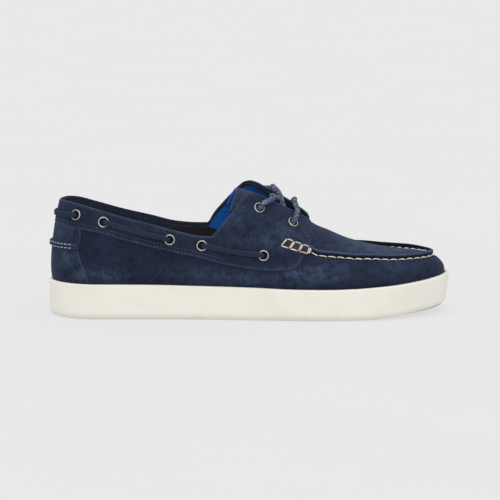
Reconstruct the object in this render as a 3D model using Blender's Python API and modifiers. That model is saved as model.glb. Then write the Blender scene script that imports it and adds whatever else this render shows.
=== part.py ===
"""Boat shoe for the right foot, standing empty and unbent on its cupsole.

Metres, +Z up, +X towards the toe, -Y the outer (lateral) side. The origin is on the ground under the
middle of the shoe. The upper, its overlays and the parts inside it are all read from one last function,
last_point, which works out the sections between the sole's edge and the instep ridge from the named sizes
and the tables of shares below.
"""

import math
from bisect import bisect_right
from collections import namedtuple
from functools import lru_cache

import bmesh
import bpy
from mathutils import Vector

LATERAL = -1
MEDIAL = 1
SIDES = (LATERAL, MEDIAL)

# Driving sizes
SOLE_LENGTH = 0.300
BALL_WIDTH = 0.104
COLLAR_HEIGHT = 0.088
FLAP_HEIGHT = 0.095
TOE_HEIGHT = 0.0456
SIDEWALL_HEIGHT = 0.0264
TOE_SPRING = 0.0058
HEEL_ROUND = 0.036
TOE_ROUND = 0.060

# Thicknesses and clearances
GAP = 0.00035
UPPER_WALL = 0.0020
SADDLE_THICKNESS = 0.0014
COUNTER_THICKNESS = 0.0012
TAB_THICKNESS = 0.0016
TONGUE_THICKNESS = 0.0024
INSOLE_THICKNESS = 0.0045
FOXING_WALL = 0.0032
SOLE_EDGE_RADIUS = 0.0055
SOLE_RIM_ROUND = 0.0009
TOE_WALL_LEAN = 0.0022
HEEL_FLOOR = 0.0130
BALL_FLOOR = 0.0080
WAIST_RECESS = 0.0012

# The raised moccasin seam around the toe plug
RIDGE_HEIGHT = 0.0037
RIDGE_THICKNESS = 0.0028

# The tab across the heel: its edges as shares of the collar's height, its reach of the sole's length
TAB_LOW = 0.589
TAB_HIGH = 0.636
TAB_REACH = 0.0700

# Tongue: ends and corner as shares of the sole's length, half-width of the ball width, sag of the
# flaps' height
TONGUE_REAR = 0.4647
TONGUE_FRONT = 0.680
TONGUE_CORNER = 0.020
TONGUE_HALF = 0.2385
TONGUE_SAG = 0.158

# Eyelets and laces
EYELET_RADIUS = 0.0041
EYELET_BORE = 0.0028
EYELET_DOME = 0.0008
EYELET_BARREL_WALL = 0.00025
EYELET_MARGIN = 0.0090
EYELET_SIDES = 8
POCKET_DEPTH = 0.0012
LACE_RADIUS = 0.00180
SIDE_LACE_WIDTH = 0.0044
SIDE_LACE_THICKNESS = 0.0018

# Where the throat and the saddle end and how the sections fan out at both ends: shares of the sole's length
THROAT_FRONT = 0.648
HEEL_FAN_START = 0.38
HEEL_FAN_PULL = 0.050
TOE_FAN_START = 0.75
TOE_FAN_PULL = 0.036

Outline = namedtuple("Outline", "x lateral medial")
Rim = namedtuple("Rim", "x height")
Ground = namedtuple("Ground", "x lift floor")
Section = namedtuple("Section", "x squareness belly plug")
Spine = namedtuple("Spine", "x shift height")
Edge = namedtuple("Edge", "x lateral medial")
Line = namedtuple("Line", "x height")
Front = namedtuple("Front", "height x")
Crown = namedtuple("Crown", "x height")
Eyelet = namedtuple("Eyelet", "name x edge margin through")

# Half-widths of the sole, as shares of the ball width, before the ends are rounded off
SOLE_OUTLINE = (
    Outline(0.00, 0.330, 0.330),
    Outline(0.11, 0.336, 0.334),
    Outline(0.25, 0.352, 0.338),
    Outline(0.40, 0.392, 0.340),
    Outline(0.50, 0.436, 0.366),
    Outline(0.60, 0.478, 0.424),
    Outline(0.68, 0.498, 0.470),
    Outline(0.75, 0.496, 0.494),
    Outline(0.82, 0.474, 0.492),
    Outline(0.90, 0.432, 0.466),
    Outline(1.00, 0.370, 0.420),
)

# Top edge of the cupsole, as shares of the side wall's height at the heel
SOLE_RIM = (
    Rim(0.00, 1.02),
    Rim(0.12, 1.00),
    Rim(0.25, 0.99),
    Rim(0.37, 0.962),
    Rim(0.49, 0.938),
    Rim(0.61, 0.892),
    Rim(0.69, 0.888),
    Rim(0.75, 0.905),
    Rim(0.81, 0.944),
    Rim(0.86, 0.978),
    Rim(0.92, 1.035),
    Rim(0.97, 1.094),
    Rim(1.00, 1.140),
)

# Underside of the sole: lift as a share of the toe spring, floor from 0 at the ball's thickness to 1 at the
# heel's
SOLE_GROUND = (
    Ground(0.00, 0.00, 1.00),
    Ground(0.25, 0.00, 0.90),
    Ground(0.45, 0.00, 0.45),
    Ground(0.62, 0.00, 0.05),
    Ground(0.70, 0.00, 0.00),
    Ground(0.78, 0.06, 0.00),
    Ground(0.84, 0.26, 0.00),
    Ground(0.90, 0.54, 0.00),
    Ground(0.95, 0.76, 0.00),
    Ground(1.00, 1.00, 0.00),
)

# Shape of the upper's sections: exponent of the superellipse, belly outwards as a share of the ball width,
# and how far out the moccasin seam lies, as a share of the way from the ridge line to the sole's edge
SECTIONS = (
    Section(0.00, 2.44, 0.012, 0.90),
    Section(0.12, 2.52, 0.012, 0.90),
    Section(0.25, 2.50, 0.008, 0.90),
    Section(0.40, 2.45, 0.006, 0.90),
    Section(0.49, 2.85, 0.006, 0.89),
    Section(0.55, 2.40, 0.008, 0.875),
    Section(0.60, 2.05, 0.010, 0.840),
    Section(0.647, 1.82, 0.012, 0.785),
    Section(0.69, 1.82, 0.012, 0.752),
    Section(0.75, 1.92, 0.010, 0.710),
    Section(0.82, 2.18, 0.008, 0.685),
    Section(0.90, 2.38, 0.005, 0.685),
    Section(1.00, 2.47, 0.002, 0.694),
)

# Ridge line of the last: sideways shift as a share of the ball width, height from 0 at the toe's to 1 at
# the flaps'
RIDGE_LINE = (
    Spine(0.16, 0.000, 1.587),
    Spine(0.33, 0.000, 1.506),
    Spine(0.40, 0.010, 1.425),
    Spine(0.49, 0.018, 1.162),
    Spine(0.55, 0.022, 0.939),
    Spine(0.593, 0.026, 0.775),
    Spine(0.627, 0.030, 0.645),
    Spine(0.640, 0.032, 0.555),
    Spine(0.653, 0.033, 0.445),
    Spine(0.700, 0.038, 0.306),
    Spine(0.747, 0.038, 0.182),
    Spine(0.787, 0.036, 0.109),
    Spine(0.833, 0.032, 0.040),
    Spine(0.88, 0.028, 0.000),
)

# Topline of the collar, as shares of the collar's height at the back
COLLAR_LINE = (
    Edge(0.000, 0.964, 0.964),
    Edge(0.028, 0.976, 0.976),
    Edge(0.045, 0.982, 0.982),
    Edge(0.065, 0.975, 0.973),
    Edge(0.116, 0.932, 0.920),
    Edge(0.185, 0.862, 0.852),
    Edge(0.253, 0.803, 0.797),
    Edge(0.322, 0.741, 0.740),
    Edge(0.370, 0.708, 0.726),
)

# Edge of the two eyestay flaps, as shares of the flaps' height
FLAP_LINE = (
    Edge(0.397, 0.652, 0.672),
    Edge(0.414, 0.702, 0.752),
    Edge(0.437, 0.788, 0.836),
    Edge(0.458, 0.866, 0.908),
    Edge(0.478, 0.944, 0.976),
    Edge(0.487, 0.966, 1.000),
    Edge(0.502, 0.972, 1.012),
    Edge(0.517, 0.958, 1.000),
    Edge(0.542, 0.916, 0.958),
    Edge(0.590, 0.838, 0.878),
    Edge(0.626, 0.776, 0.800),
    Edge(0.640, 0.748, 0.768),
    Edge(0.648, 0.706, 0.724),
)

# Lower edge of the saddle, as shares of the collar's height
SADDLE_LOW = (
    Line(0.000, 0.794),
    Line(0.080, 0.757),
    Line(0.133, 0.723),
    Line(0.185, 0.670),
    Line(0.253, 0.612),
    Line(0.321, 0.558),
    Line(0.364, 0.530),
    Line(0.408, 0.488),
    Line(0.451, 0.459),
    Line(0.506, 0.433),
    Line(0.549, 0.423),
    Line(0.580, 0.425),
    Line(0.600, 0.445),
    Line(0.614, 0.483),
    Line(0.622, 0.524),
    Line(0.630, 0.562),
    Line(0.641, 0.628),
    Line(0.648, 0.680),
)

# Front edge of the heel counter: share of the sole's length at each share of the collar's height
COUNTER_FRONT = (
    Front(0.290, 0.101),
    Front(0.395, 0.090),
    Front(0.490, 0.079),
    Front(0.560, 0.073),
    Front(0.600, 0.073),
    Front(0.660, 0.078),
    Front(0.765, 0.080),
)

# Middle line of the tongue's outer face, from 0 at the toe's height to 1 at the flaps'
TONGUE_CROWN = (
    Crown(0.460, 0.990),
    Crown(0.505, 0.905),
    Crown(0.550, 0.765),
    Crown(0.593, 0.600),
    Crown(0.627, 0.460),
    Crown(0.653, 0.362),
    Crown(0.682, 0.282),
)

# Eyelets of one side, from the heel: margin is the distance from the named edge, as a share of the eyelet
# margin
EYELETS = (
    Eyelet("heel", 0.071, "top", 0.95, False),
    Eyelet("collar_rear", 0.135, "top", 0.90, False),
    Eyelet("collar_middle", 0.297, "top", 0.86, False),
    Eyelet("collar_front", 0.376, "top", 0.78, False),
    Eyelet("saddle", 0.526, "low", 1.20, False),
    Eyelet("throat_rear", 0.515, "top", 1.05, True),
    Eyelet("throat_front", 0.598, "top", 0.92, True),
)

# Stations along the shoe: where each run of them ends, as a share of the sole's length, and how many it has
STATION_RUNS = ((0.397, 9), (0.487, 4), (0.580, 4), (THROAT_FRONT, 5), (0.656, 1), (1.0, 10))

# Stations from the back of the heel to the front end of the counter and of the tab
HEEL_STATIONS = 12

# Rows of the upper below the saddle's edge, as shares of the way up to it
LOWER_ROWS = (0.0, 0.20, 0.55, 1.0)


@lru_cache(maxsize=None)
def curve_of(rows, column):
    """Places, values and tangents of one column of a table, against its first column."""
    places = [row[0] for row in rows]
    values = [getattr(row, column) for row in rows]
    steps = [b - a for a, b in zip(places, places[1:])]
    slopes = [(b - a) / h for a, b, h in zip(values, values[1:], steps)]
    tangents = [slopes[0]]
    for before, after, left, right in zip(slopes, slopes[1:], steps, steps[1:]):
        if before * after <= 0:
            tangents.append(0.0)
            continue
        near, far = 2 * right + left, right + 2 * left
        tangents.append((near + far) / (near / before + far / after))
    tangents.append(slopes[-1])
    return places, values, tangents


def smooth(rows, column, x):
    """Value of one column of a table at x, on a smooth curve through its rows that never overshoots them."""
    places, values, tangents = curve_of(rows, column)
    if x <= places[0]:
        return values[0]
    if x >= places[-1]:
        return values[-1]
    k = bisect_right(places, x) - 1
    h = places[k + 1] - places[k]
    s = (x - places[k]) / h
    return (
        values[k] * (1 + 2 * s) * (1 - s) ** 2
        + tangents[k] * h * s * (1 - s) ** 2
        + values[k + 1] * s * s * (3 - 2 * s)
        + tangents[k + 1] * h * s * s * (s - 1)
    )


def eased(low, high, x):
    """0 below low, 1 above high and a smooth step between them."""
    s = min(1.0, max(0.0, (x - low) / (high - low)))
    return s * s * (3 - 2 * s)


def side_name(side):
    return "lateral" if side == LATERAL else "medial"


def along(u):
    """Distance from the heel of station u, from 0 at the heel to 1 at the toe, dense at both ends."""
    return SOLE_LENGTH * (1 - math.cos(math.pi * u)) / 2


def station_at(x):
    """Station whose distance from the heel is x."""
    return math.acos(min(1.0, max(-1.0, 1 - 2 * x / SOLE_LENGTH))) / math.pi


def folded(u, side):
    """A station past either end is the same one on the other side."""
    if u < 0:
        return -u, -side
    if u > 1:
        return 2 - u, -side
    return u, side


def sole_edge(u, side):
    """Point of the sole's outline in plan."""
    u, side = folded(u, side)
    x = along(u)
    width = smooth(SOLE_OUTLINE, side_name(side), x / SOLE_LENGTH) * BALL_WIDTH
    if x < HEEL_ROUND:
        width *= math.sqrt(max(0.0, 1 - (1 - x / HEEL_ROUND) ** 2))
    left = SOLE_LENGTH - x
    if left < TOE_ROUND:
        width *= math.sqrt(max(0.0, 1 - (1 - left / TOE_ROUND) ** 2))
    return Vector((x - SOLE_LENGTH / 2, side * width, 0.0))


def plan_outwards(u, side):
    """Unit vector that points out of the sole's outline in plan."""
    step = 0.004
    run = sole_edge(u + step, side) - sole_edge(u - step, side)
    return Vector((-run.y, run.x, 0.0)).normalized() * side


def inset_edge(u, side, inset):
    """Point of the sole's outline moved inwards."""
    return sole_edge(u, side) - plan_outwards(u, side) * inset


def rim_height(u):
    return smooth(SOLE_RIM, "height", along(u) / SOLE_LENGTH) * SIDEWALL_HEIGHT


def ground_lift(u):
    return smooth(SOLE_GROUND, "lift", along(u) / SOLE_LENGTH) * TOE_SPRING


def cup_floor(u):
    """Height of the floor inside the cupsole."""
    share = smooth(SOLE_GROUND, "floor", along(u) / SOLE_LENGTH)
    return ground_lift(u) + BALL_FLOOR + share * (HEEL_FLOOR - BALL_FLOOR)


def between_toe_and_flaps(share):
    return TOE_HEIGHT + share * (FLAP_HEIGHT - TOE_HEIGHT)


def ridge_point(u):
    """Point of the last's ridge line that a station's section climbs to. They fan out at heel and toe."""
    x = along(u)
    heel_fan, toe_fan = HEEL_FAN_START * SOLE_LENGTH, TOE_FAN_START * SOLE_LENGTH
    if x < heel_fan:
        x += HEEL_FAN_PULL * (1 - x / heel_fan) ** 2
    elif x > toe_fan:
        x -= TOE_FAN_PULL * ((x - toe_fan) / (SOLE_LENGTH - toe_fan)) ** 2
    share = x / SOLE_LENGTH
    shift = smooth(RIDGE_LINE, "shift", share) * BALL_WIDTH
    height = between_toe_and_flaps(smooth(RIDGE_LINE, "height", share))
    return Vector((x - SOLE_LENGTH / 2, shift, height))


def last_point(u, t, side):
    """Point of the upper's outer face: station u, and t from 0 at the sole's edge to 1 on the ridge line."""
    u, side = folded(u, side)
    share = along(u) / SOLE_LENGTH
    power = 2 / smooth(SECTIONS, "squareness", share)
    angle = min(1.0, max(0.0, t)) * math.pi / 2
    out, up = max(0.0, math.cos(angle)) ** power, math.sin(angle) ** power
    foot = inset_edge(u, side, FOXING_WALL + GAP)
    foot.z = rim_height(u)
    ridge = ridge_point(u)
    point = Vector(
        (
            ridge.x + (foot.x - ridge.x) * out,
            ridge.y + (foot.y - ridge.y) * out,
            foot.z + (ridge.z - foot.z) * up,
        )
    )
    belly_at = 0.15
    swell = up / belly_at * math.exp(1 - up / belly_at) * (1 - up)
    belly = smooth(SECTIONS, "belly", share) * BALL_WIDTH
    return point + plan_outwards(u, side) * belly * swell


def last_normal(u, t, side):
    """Unit vector out of the upper's outer face."""
    du, dt = 0.004, 0.012
    run = last_point(u + du, t, side) - last_point(u - du, t, side)
    climb = last_point(u, t + dt, side) - last_point(u, t - dt, side)
    normal = run.cross(climb) * -side
    if normal.length < 1e-12:
        return Vector((0.0, 0.0, 1.0))
    return normal.normalized()


def off_last(u, t, side, distance):
    """Point at a distance outside the upper's outer face, or inside it where the distance is negative."""
    return last_point(u, t, side) + last_normal(u, t, side) * distance


def height_line(point, line):
    """How far a point is above a line drawn on the side view."""
    return point.z - line(point.x + SOLE_LENGTH / 2)


def t_on_line(u, side, line):
    """t where a station's section first climbs over a line drawn on the side view."""
    steps = 40
    low = 0.0
    for k in range(1, steps + 1):
        high = k / steps
        if height_line(last_point(u, high, side), line) > 0:
            break
        low = high
    for _ in range(24):
        middle = (low + high) / 2
        if height_line(last_point(u, middle, side), line) > 0:
            high = middle
        else:
            low = middle
    return (low + high) / 2


@lru_cache(maxsize=None)
def topline(side):
    """Height of the collar's and the flap's edge on the side view."""
    name = side_name(side)
    collar = [Line(row.x, getattr(row, name) * COLLAR_HEIGHT) for row in COLLAR_LINE]
    flap = [Line(row.x, getattr(row, name) * FLAP_HEIGHT) for row in FLAP_LINE]
    rows = tuple(collar + flap)
    return lambda x: smooth(rows, "height", x / SOLE_LENGTH)


def saddle_low_line(x):
    return smooth(SADDLE_LOW, "height", x / SOLE_LENGTH) * COLLAR_HEIGHT


def find_on_side(side, x, z):
    """Station and t of the point that shows at x from the heel and height z on the side view."""
    u = station_at(x)
    t = 0.0
    for _ in range(12):
        t = t_on_line(u, side, lambda _: z)
        miss = x - (last_point(u, t, side).x + SOLE_LENGTH / 2)
        u = station_at(along(u) + miss)
    return u, t


def stations():
    """All stations of the upper, from heel to toe."""
    found = [0.0]
    start = 0.0
    for end, count in STATION_RUNS:
        stop = station_at(end * SOLE_LENGTH)
        found += [start + (stop - start) * k / count for k in range(1, count)]
        found.append(stop)
        start = stop
    return found


def seam_t(u):
    """t of the moccasin seam."""
    share = along(u) / SOLE_LENGTH
    out = smooth(SECTIONS, "plug", share)
    squareness = smooth(SECTIONS, "squareness", share)
    return math.acos(out ** (squareness / 2)) * 2 / math.pi


def ridge_share(u):
    """1 along the toe, where the seam stands up as a ridge, and 0 under the saddle."""
    front = THROAT_FRONT * SOLE_LENGTH
    return eased(front + 0.0005, front + 0.0022, along(u))


@lru_cache(maxsize=None)
def upper_rows(u, side):
    """The t of each row of the upper at a station: lower rows, four at the seam, one more, the edge."""
    edge = t_on_line(u, side, topline(side))
    x = along(u)
    throat = THROAT_FRONT * SOLE_LENGTH
    if x > throat:
        edge = t_on_line(station_at(throat), side, topline(side))
    low = t_on_line(u, side, saddle_low_line)
    here = last_point(u, seam_t(u), side)
    there = last_point(u, seam_t(u) + 0.01, side)
    ridge_half = 0.01 * RIDGE_THICKNESS / 2 / (there - here).length
    forward = eased(0.50 * SOLE_LENGTH, 0.575 * SOLE_LENGTH, x)
    seam = forward * seam_t(u) + (1 - forward) * (low + 0.5 * (edge - low))
    half = forward * ridge_half + (1 - forward) * 0.2 * (edge - low)
    past = eased(0.604 * SOLE_LENGTH, 0.630 * SOLE_LENGTH, x)
    lower_top = low * (1 - past) + past * 0.84 * (seam - half)
    rows = [lower_top * share for share in LOWER_ROWS]
    rows += [seam - 1.15 * half, seam - 0.7 * half, seam + 0.7 * half, seam + 1.15 * half]
    rows += [(rows[-1] + edge) / 2, edge, edge + (1 - edge) * 0.5, 1.0]
    return rows


RIDGE_FIRST = len(LOWER_ROWS)
RIDGE_TOPS = (RIDGE_FIRST + 1, RIDGE_FIRST + 2)
EDGE_ROW = RIDGE_FIRST + 5
CENTRE_ROW = EDGE_ROW + 2


class Loft:
    """Collects cells between an outer and an inner face, and closes the free edges around them."""

    def __init__(self):
        self.index = {}
        self.pairs = []
        self.cells = []

    def corner(self, outer, inner):
        key = tuple(round(c * 1e6) for c in outer)
        if key not in self.index:
            self.index[key] = len(self.pairs)
            self.pairs.append((outer, inner))
        return self.index[key]

    def cell(self, corners):
        """Adds a cell as two triangles, split alike in every layer, so that layers lie parallel."""
        found = [self.corner(*corner) for corner in corners]
        for ring in (found[:3], [found[0], *found[2:]]):
            if len(set(ring)) == 3:
                self.cells.append(ring)

    def wrap(self, found, column, rows_at=None, shared=(0.0, 1.0)):
        """Adds the cells between neighbouring stations of both sides, which share the heel's and toe's."""
        for side in SIDES:
            grid = [column(u, LATERAL if u in shared else side) for u in found]
            for u, here, there in zip(found, grid, grid[1:]):
                for k in range(rows_at(u) if rows_at else len(here) - 1):
                    if side == LATERAL:
                        self.cell([here[k], there[k], there[k + 1], here[k + 1]])
                    else:
                        self.cell([here[k], here[k + 1], there[k + 1], there[k]])

    def object(self, name, material):
        edges = {(a, b) for ring in self.cells for a, b in zip(ring, ring[1:] + ring[:1])}
        count = len(self.pairs)
        faces = [list(ring) for ring in self.cells]
        faces += [[a + count for a in reversed(ring)] for ring in self.cells]
        faces += [[b, a, a + count, b + count] for a, b in sorted(edges) if (b, a) not in edges]
        points = [outer for outer, _ in self.pairs] + [inner for _, inner in self.pairs]
        return mesh_object(name, points, faces, material)


def mesh_object(name, points, faces, material):
    """Object of a mesh, with unused points left out and its faces shaded smooth up to a crease."""
    mesh = bpy.data.meshes.new(name)
    mesh.from_pydata([tuple(p) for p in points], [], faces)
    mesh.validate()
    body = bmesh.new()
    body.from_mesh(mesh)
    bmesh.ops.delete(body, geom=[v for v in body.verts if not v.link_faces], context="VERTS")
    body.to_mesh(mesh)
    body.free()
    mesh.shade_smooth()
    mesh.set_sharp_from_angle(angle=math.radians(40))
    mesh.materials.append(material)
    obj = bpy.data.objects.new(name, mesh)
    bpy.data.collections[PARTS].objects.link(obj)
    return obj


def material(name, colour, roughness, metallic=0.0):
    made = bpy.data.materials.new(name)
    made.use_nodes = True
    shader = made.node_tree.nodes["Principled BSDF"]
    shader.inputs["Base Color"].default_value = (*colour, 1.0)
    shader.inputs["Roughness"].default_value = roughness
    shader.inputs["Metallic"].default_value = metallic
    return made


PARTS = "boat_shoe"
CUTTERS = "cutters"


def start_scene():
    """An empty scene with a collection for the shoe and a hidden one for its cutters."""
    for obj in list(bpy.data.objects):
        bpy.data.objects.remove(obj, do_unlink=True)
    for name in (PARTS, CUTTERS):
        bpy.context.scene.collection.children.link(bpy.data.collections.new(name))
    bpy.data.collections[CUTTERS].hide_render = True


def ring_body(name, profile, material_):
    """Closed body from half-sections that run from the middle of the underside to the middle on top."""
    points, faces, index = [], [], {}

    def number(point):
        key = tuple(round(c * 1e6) for c in point)
        if key not in index:
            index[key] = len(points)
            points.append(point)
        return index[key]

    for side in SIDES:
        rings = [[number(p) for p in profile(u, side)] for u in stations()]
        for here, there in zip(rings, rings[1:]):
            for k in range(len(here) - 1):
                quad = [here[k], there[k], there[k + 1], here[k + 1]]
                ring = [a for a, b in zip(quad, quad[1:] + quad[:1]) if a != b]
                if len(set(ring)) > 2:
                    faces.append(ring if side == LATERAL else ring[::-1])
    return mesh_object(name, points, faces, material_)


def across(u, side, inset, share, z):
    """Point on the line between the two sides' inset outlines, share 1 at this side's and 0 in the middle."""
    here, there = inset_edge(u, side, inset), inset_edge(u, -side, inset)
    middle = (here + there) / 2
    point = middle + (here - middle) * share
    point.z = z
    return point


def cupsole_profile(u, side):
    """Half-section of the cupsole: underside with a recessed waist, edge, side wall, rim and cavity."""
    ground, rim, floor = ground_lift(u), rim_height(u), cup_floor(u)
    share = along(u) / SOLE_LENGTH
    waist = WAIST_RECESS * eased(0.28, 0.33, share) * (1 - eased(0.52, 0.57, share))
    radius = SOLE_EDGE_RADIUS
    rows = [across(u, side, radius, part, ground + waist) for part in (0.0, 0.74)]
    rows += [across(u, side, radius, part, ground) for part in (0.80, 1.0)]
    lean = TOE_WALL_LEAN * eased(0.80, 1.0, share)
    for angle in (30, 60, 90):
        bend = math.radians(angle)
        point = inset_edge(u, side, lean + radius * (1 - math.sin(bend)))
        point.z = ground + radius * (1 - math.cos(bend))
        rows.append(point)
    for inset, height in (
        (0.0, rim - SOLE_RIM_ROUND),
        (SOLE_RIM_ROUND, rim),
        (FOXING_WALL, rim),
        (FOXING_WALL, floor),
    ):
        point = inset_edge(u, side, inset)
        point.z = height
        rows.append(point)
    rows.append(across(u, side, FOXING_WALL, 0.0, floor))
    return rows


def insole_profile(u, side):
    """Half-section of the insole, which fills the upper's inside and lies on the cup's floor."""
    inset = FOXING_WALL + GAP + UPPER_WALL + GAP
    low = cup_floor(u) + GAP
    high = low + INSOLE_THICKNESS
    bevel = 0.0008
    return [
        across(u, side, inset, 0.0, low),
        across(u, side, inset, 1.0, low),
        across(u, side, inset, 1.0, high - bevel),
        across(u, side, inset + bevel, 1.0, high),
        across(u, side, inset, 0.0, high),
    ]


def ridge_lift(u, t, side):
    """How the seam's ridge stands on the upper: mostly upright, leaning a little with the face under it."""
    upright = Vector((0.0, 0.0, 1.0))
    lean = 0.35
    way = (last_normal(u, t, side) * lean + upright * (1 - lean)).normalized()
    return way * RIDGE_HEIGHT * ridge_share(u)


def upper_corner(u, side, row, t):
    """Outer and inner point of the upper's wall. The inner face runs straight under the solid ridge."""
    outer = last_point(u, t, side)
    if row in RIDGE_TOPS:
        outer = outer + ridge_lift(u, t, side)
    return outer, off_last(u, t, side, -UPPER_WALL)


def upper_foot(u, side):
    """The wall's lower end, inside the cup."""
    ends = []
    for inset in (FOXING_WALL + GAP, FOXING_WALL + GAP + UPPER_WALL):
        point = inset_edge(u, side, inset)
        point.z = cup_floor(u) + GAP
        ends.append(point)
    return tuple(ends)


def build_upper(suede):
    """Vamp, plug and quarters as one wall, open at the collar, at the throat and underneath."""
    throat = station_at(THROAT_FRONT * SOLE_LENGTH) - 1e-6

    def column(u, side):
        rows = [upper_corner(u, side, row, t) for row, t in enumerate(upper_rows(u, side))]
        return [upper_foot(u, side)] + rows

    loft = Loft()
    loft.wrap(stations(), column, lambda u: (CENTRE_ROW if u >= throat else EDGE_ROW) + 1)
    return loft.object("upper", suede)


def build_saddle(suede):
    """The collar band and both eyestay flaps: one overlay around the heel, seated on the upper."""
    front = station_at(THROAT_FRONT * SOLE_LENGTH) + 1e-6
    outside = GAP + SADDLE_THICKNESS

    def column(u, side):
        low = t_on_line(u, side, saddle_low_line)
        high = t_on_line(u, side, topline(side))
        inner_rows = upper_rows(u, side)[len(LOWER_ROWS) : EDGE_ROW]
        ts = [low] + [min(high, max(low, t)) for t in inner_rows] + [high]
        return [(off_last(u, t, side, outside), off_last(u, t, side, GAP)) for t in ts]

    loft = Loft()
    loft.wrap([u for u in stations() if u <= front], column)
    return loft.object("saddle", suede)


def heel_overlay(name, heights, reach, inside, outside, material_):
    """Overlay wrapped around the heel: heights are lines on the side view, reach its front end at each."""

    def column(share, side):
        row = []
        for line, end in zip(heights, reach):
            stop, _ = find_on_side(side, end, line(end))
            u = share * stop
            t = t_on_line(u, side, line)
            row.append((off_last(u, t, side, outside), off_last(u, t, side, inside)))
        return row

    loft = Loft()
    loft.wrap([k / HEEL_STATIONS for k in range(HEEL_STATIONS + 1)], column, shared=(0.0,))
    return loft.object(name, material_)


def build_counter(suede):
    """Heel counter between the sole's rim and the saddle's lower edge."""
    top_margin = 2 * GAP

    def line(share):
        def height(x):
            foot = rim_height(station_at(max(0.0, x))) + top_margin
            return foot + share * (saddle_low_line(x) - top_margin - foot)

        return height

    heights = [line(share) for share in LOWER_ROWS]
    reach = []
    for height in heights:
        x = COUNTER_FRONT[0].x * SOLE_LENGTH
        for _ in range(8):
            x = smooth(COUNTER_FRONT, "x", height(x) / COLLAR_HEIGHT) * SOLE_LENGTH
        reach.append(x)
    return heel_overlay("heel_counter", heights, reach, GAP, GAP + COUNTER_THICKNESS, suede)


def build_tab(suede):
    """Narrow raised tab sewn across the heel, seated on the counter."""
    seat = 2 * GAP + COUNTER_THICKNESS
    levels = (TAB_LOW, (TAB_LOW + TAB_HIGH) / 2, TAB_HIGH)
    heights = [lambda x, level=level: level * COLLAR_HEIGHT for level in levels]
    reach = [TAB_REACH * SOLE_LENGTH] * len(levels)
    return heel_overlay("heel_tab", heights, reach, seat, seat + TAB_THICKNESS, suede)


def tongue_point(x, v):
    """Point of the tongue's outer face: x from the heel, v from -1 at the lateral edge to 1 at the other."""
    crown = between_toe_and_flaps(smooth(TONGUE_CROWN, "height", x / SOLE_LENGTH))
    shift = smooth(RIDGE_LINE, "shift", x / SOLE_LENGTH) * BALL_WIDTH
    back = (TONGUE_FRONT - x / SOLE_LENGTH) / (TONGUE_FRONT - TONGUE_REAR)
    width = TONGUE_HALF * BALL_WIDTH * (0.74 + 0.26 * back)
    sag = TONGUE_SAG * FLAP_HEIGHT * (0.80 + 0.20 * back)
    rear = -TONGUE_CORNER * SOLE_LENGTH * v * v * back
    return Vector((x + rear - SOLE_LENGTH / 2, shift + width * v, crown - sag * v * v))


def build_tongue(suede):
    """Tongue under the flaps, its front end under the plug."""
    loft = Loft()
    runs, columns = 8, 8
    span = (TONGUE_FRONT - TONGUE_REAR) * SOLE_LENGTH
    grid = []
    for i in range(runs + 1):
        x = TONGUE_REAR * SOLE_LENGTH + span * i / runs
        row = []
        for k in range(columns + 1):
            v = -1 + 2 * k / columns
            run = tongue_point(x + 0.001, v) - tongue_point(x - 0.001, v)
            cross = tongue_point(x, v + 0.02) - tongue_point(x, v - 0.02)
            outer = tongue_point(x, v)
            row.append((outer, outer - run.cross(cross).normalized() * TONGUE_THICKNESS))
        grid.append(row)
    for here, there in zip(grid, grid[1:]):
        for k in range(columns):
            loft.cell([here[k], there[k], there[k + 1], here[k + 1]])
    return loft.object("tongue", suede)


@lru_cache(maxsize=None)
def eyelet_place(eyelet, side):
    """Station and t of an eyelet's centre."""
    x = eyelet.x * SOLE_LENGTH
    margin = eyelet.margin * EYELET_MARGIN
    if eyelet.edge == "top":
        return find_on_side(side, x, topline(side)(x) - margin)
    return find_on_side(side, x, saddle_low_line(x) + margin)


def eyelet_seat(eyelet, side):
    """Centre of an eyelet on the saddle's outer face, and the way out of the shoe there."""
    u, t = eyelet_place(eyelet, side)
    return off_last(u, t, side, GAP + SADDLE_THICKNESS), last_normal(u, t, side)


def eyelet_name(eyelet, side):
    return f"eyelet_{side_name(side)}_{eyelet.name}"


def build_eyelets(metal):
    """Rolled metal eyelets: a domed flange on the saddle and a barrel in its hole, turned about its axis."""
    barrel = EYELET_BORE + EYELET_BARREL_WALL
    middle = (EYELET_BORE + EYELET_RADIUS) / 2
    dome = GAP + EYELET_DOME
    profile = [
        (EYELET_BORE, dome * 0.7),
        (EYELET_BORE, -SADDLE_THICKNESS),
        (barrel, -SADDLE_THICKNESS),
        (barrel, GAP),
        (EYELET_RADIUS, GAP),
        (middle, dome),
    ]
    mesh = bpy.data.meshes.new("eyelet_profile")
    ring = [(i, (i + 1) % len(profile)) for i in range(len(profile))]
    mesh.from_pydata([(r, 0.0, z) for r, z in profile], ring, [])
    mesh.materials.append(metal)
    for side in SIDES:
        for eyelet in EYELETS:
            seat, way = eyelet_seat(eyelet, side)
            obj = bpy.data.objects.new(eyelet_name(eyelet, side), mesh)
            bpy.data.collections[PARTS].objects.link(obj)
            obj.location = seat
            obj.rotation_euler = way.to_track_quat("Z", "Y").to_euler()
            turn = obj.modifiers.new("turn", "SCREW")
            turn.steps = turn.render_steps = EYELET_SIDES
            turn.use_merge_vertices = True
            turn.merge_threshold = 0.00002
            turn.use_normal_flip = True


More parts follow.
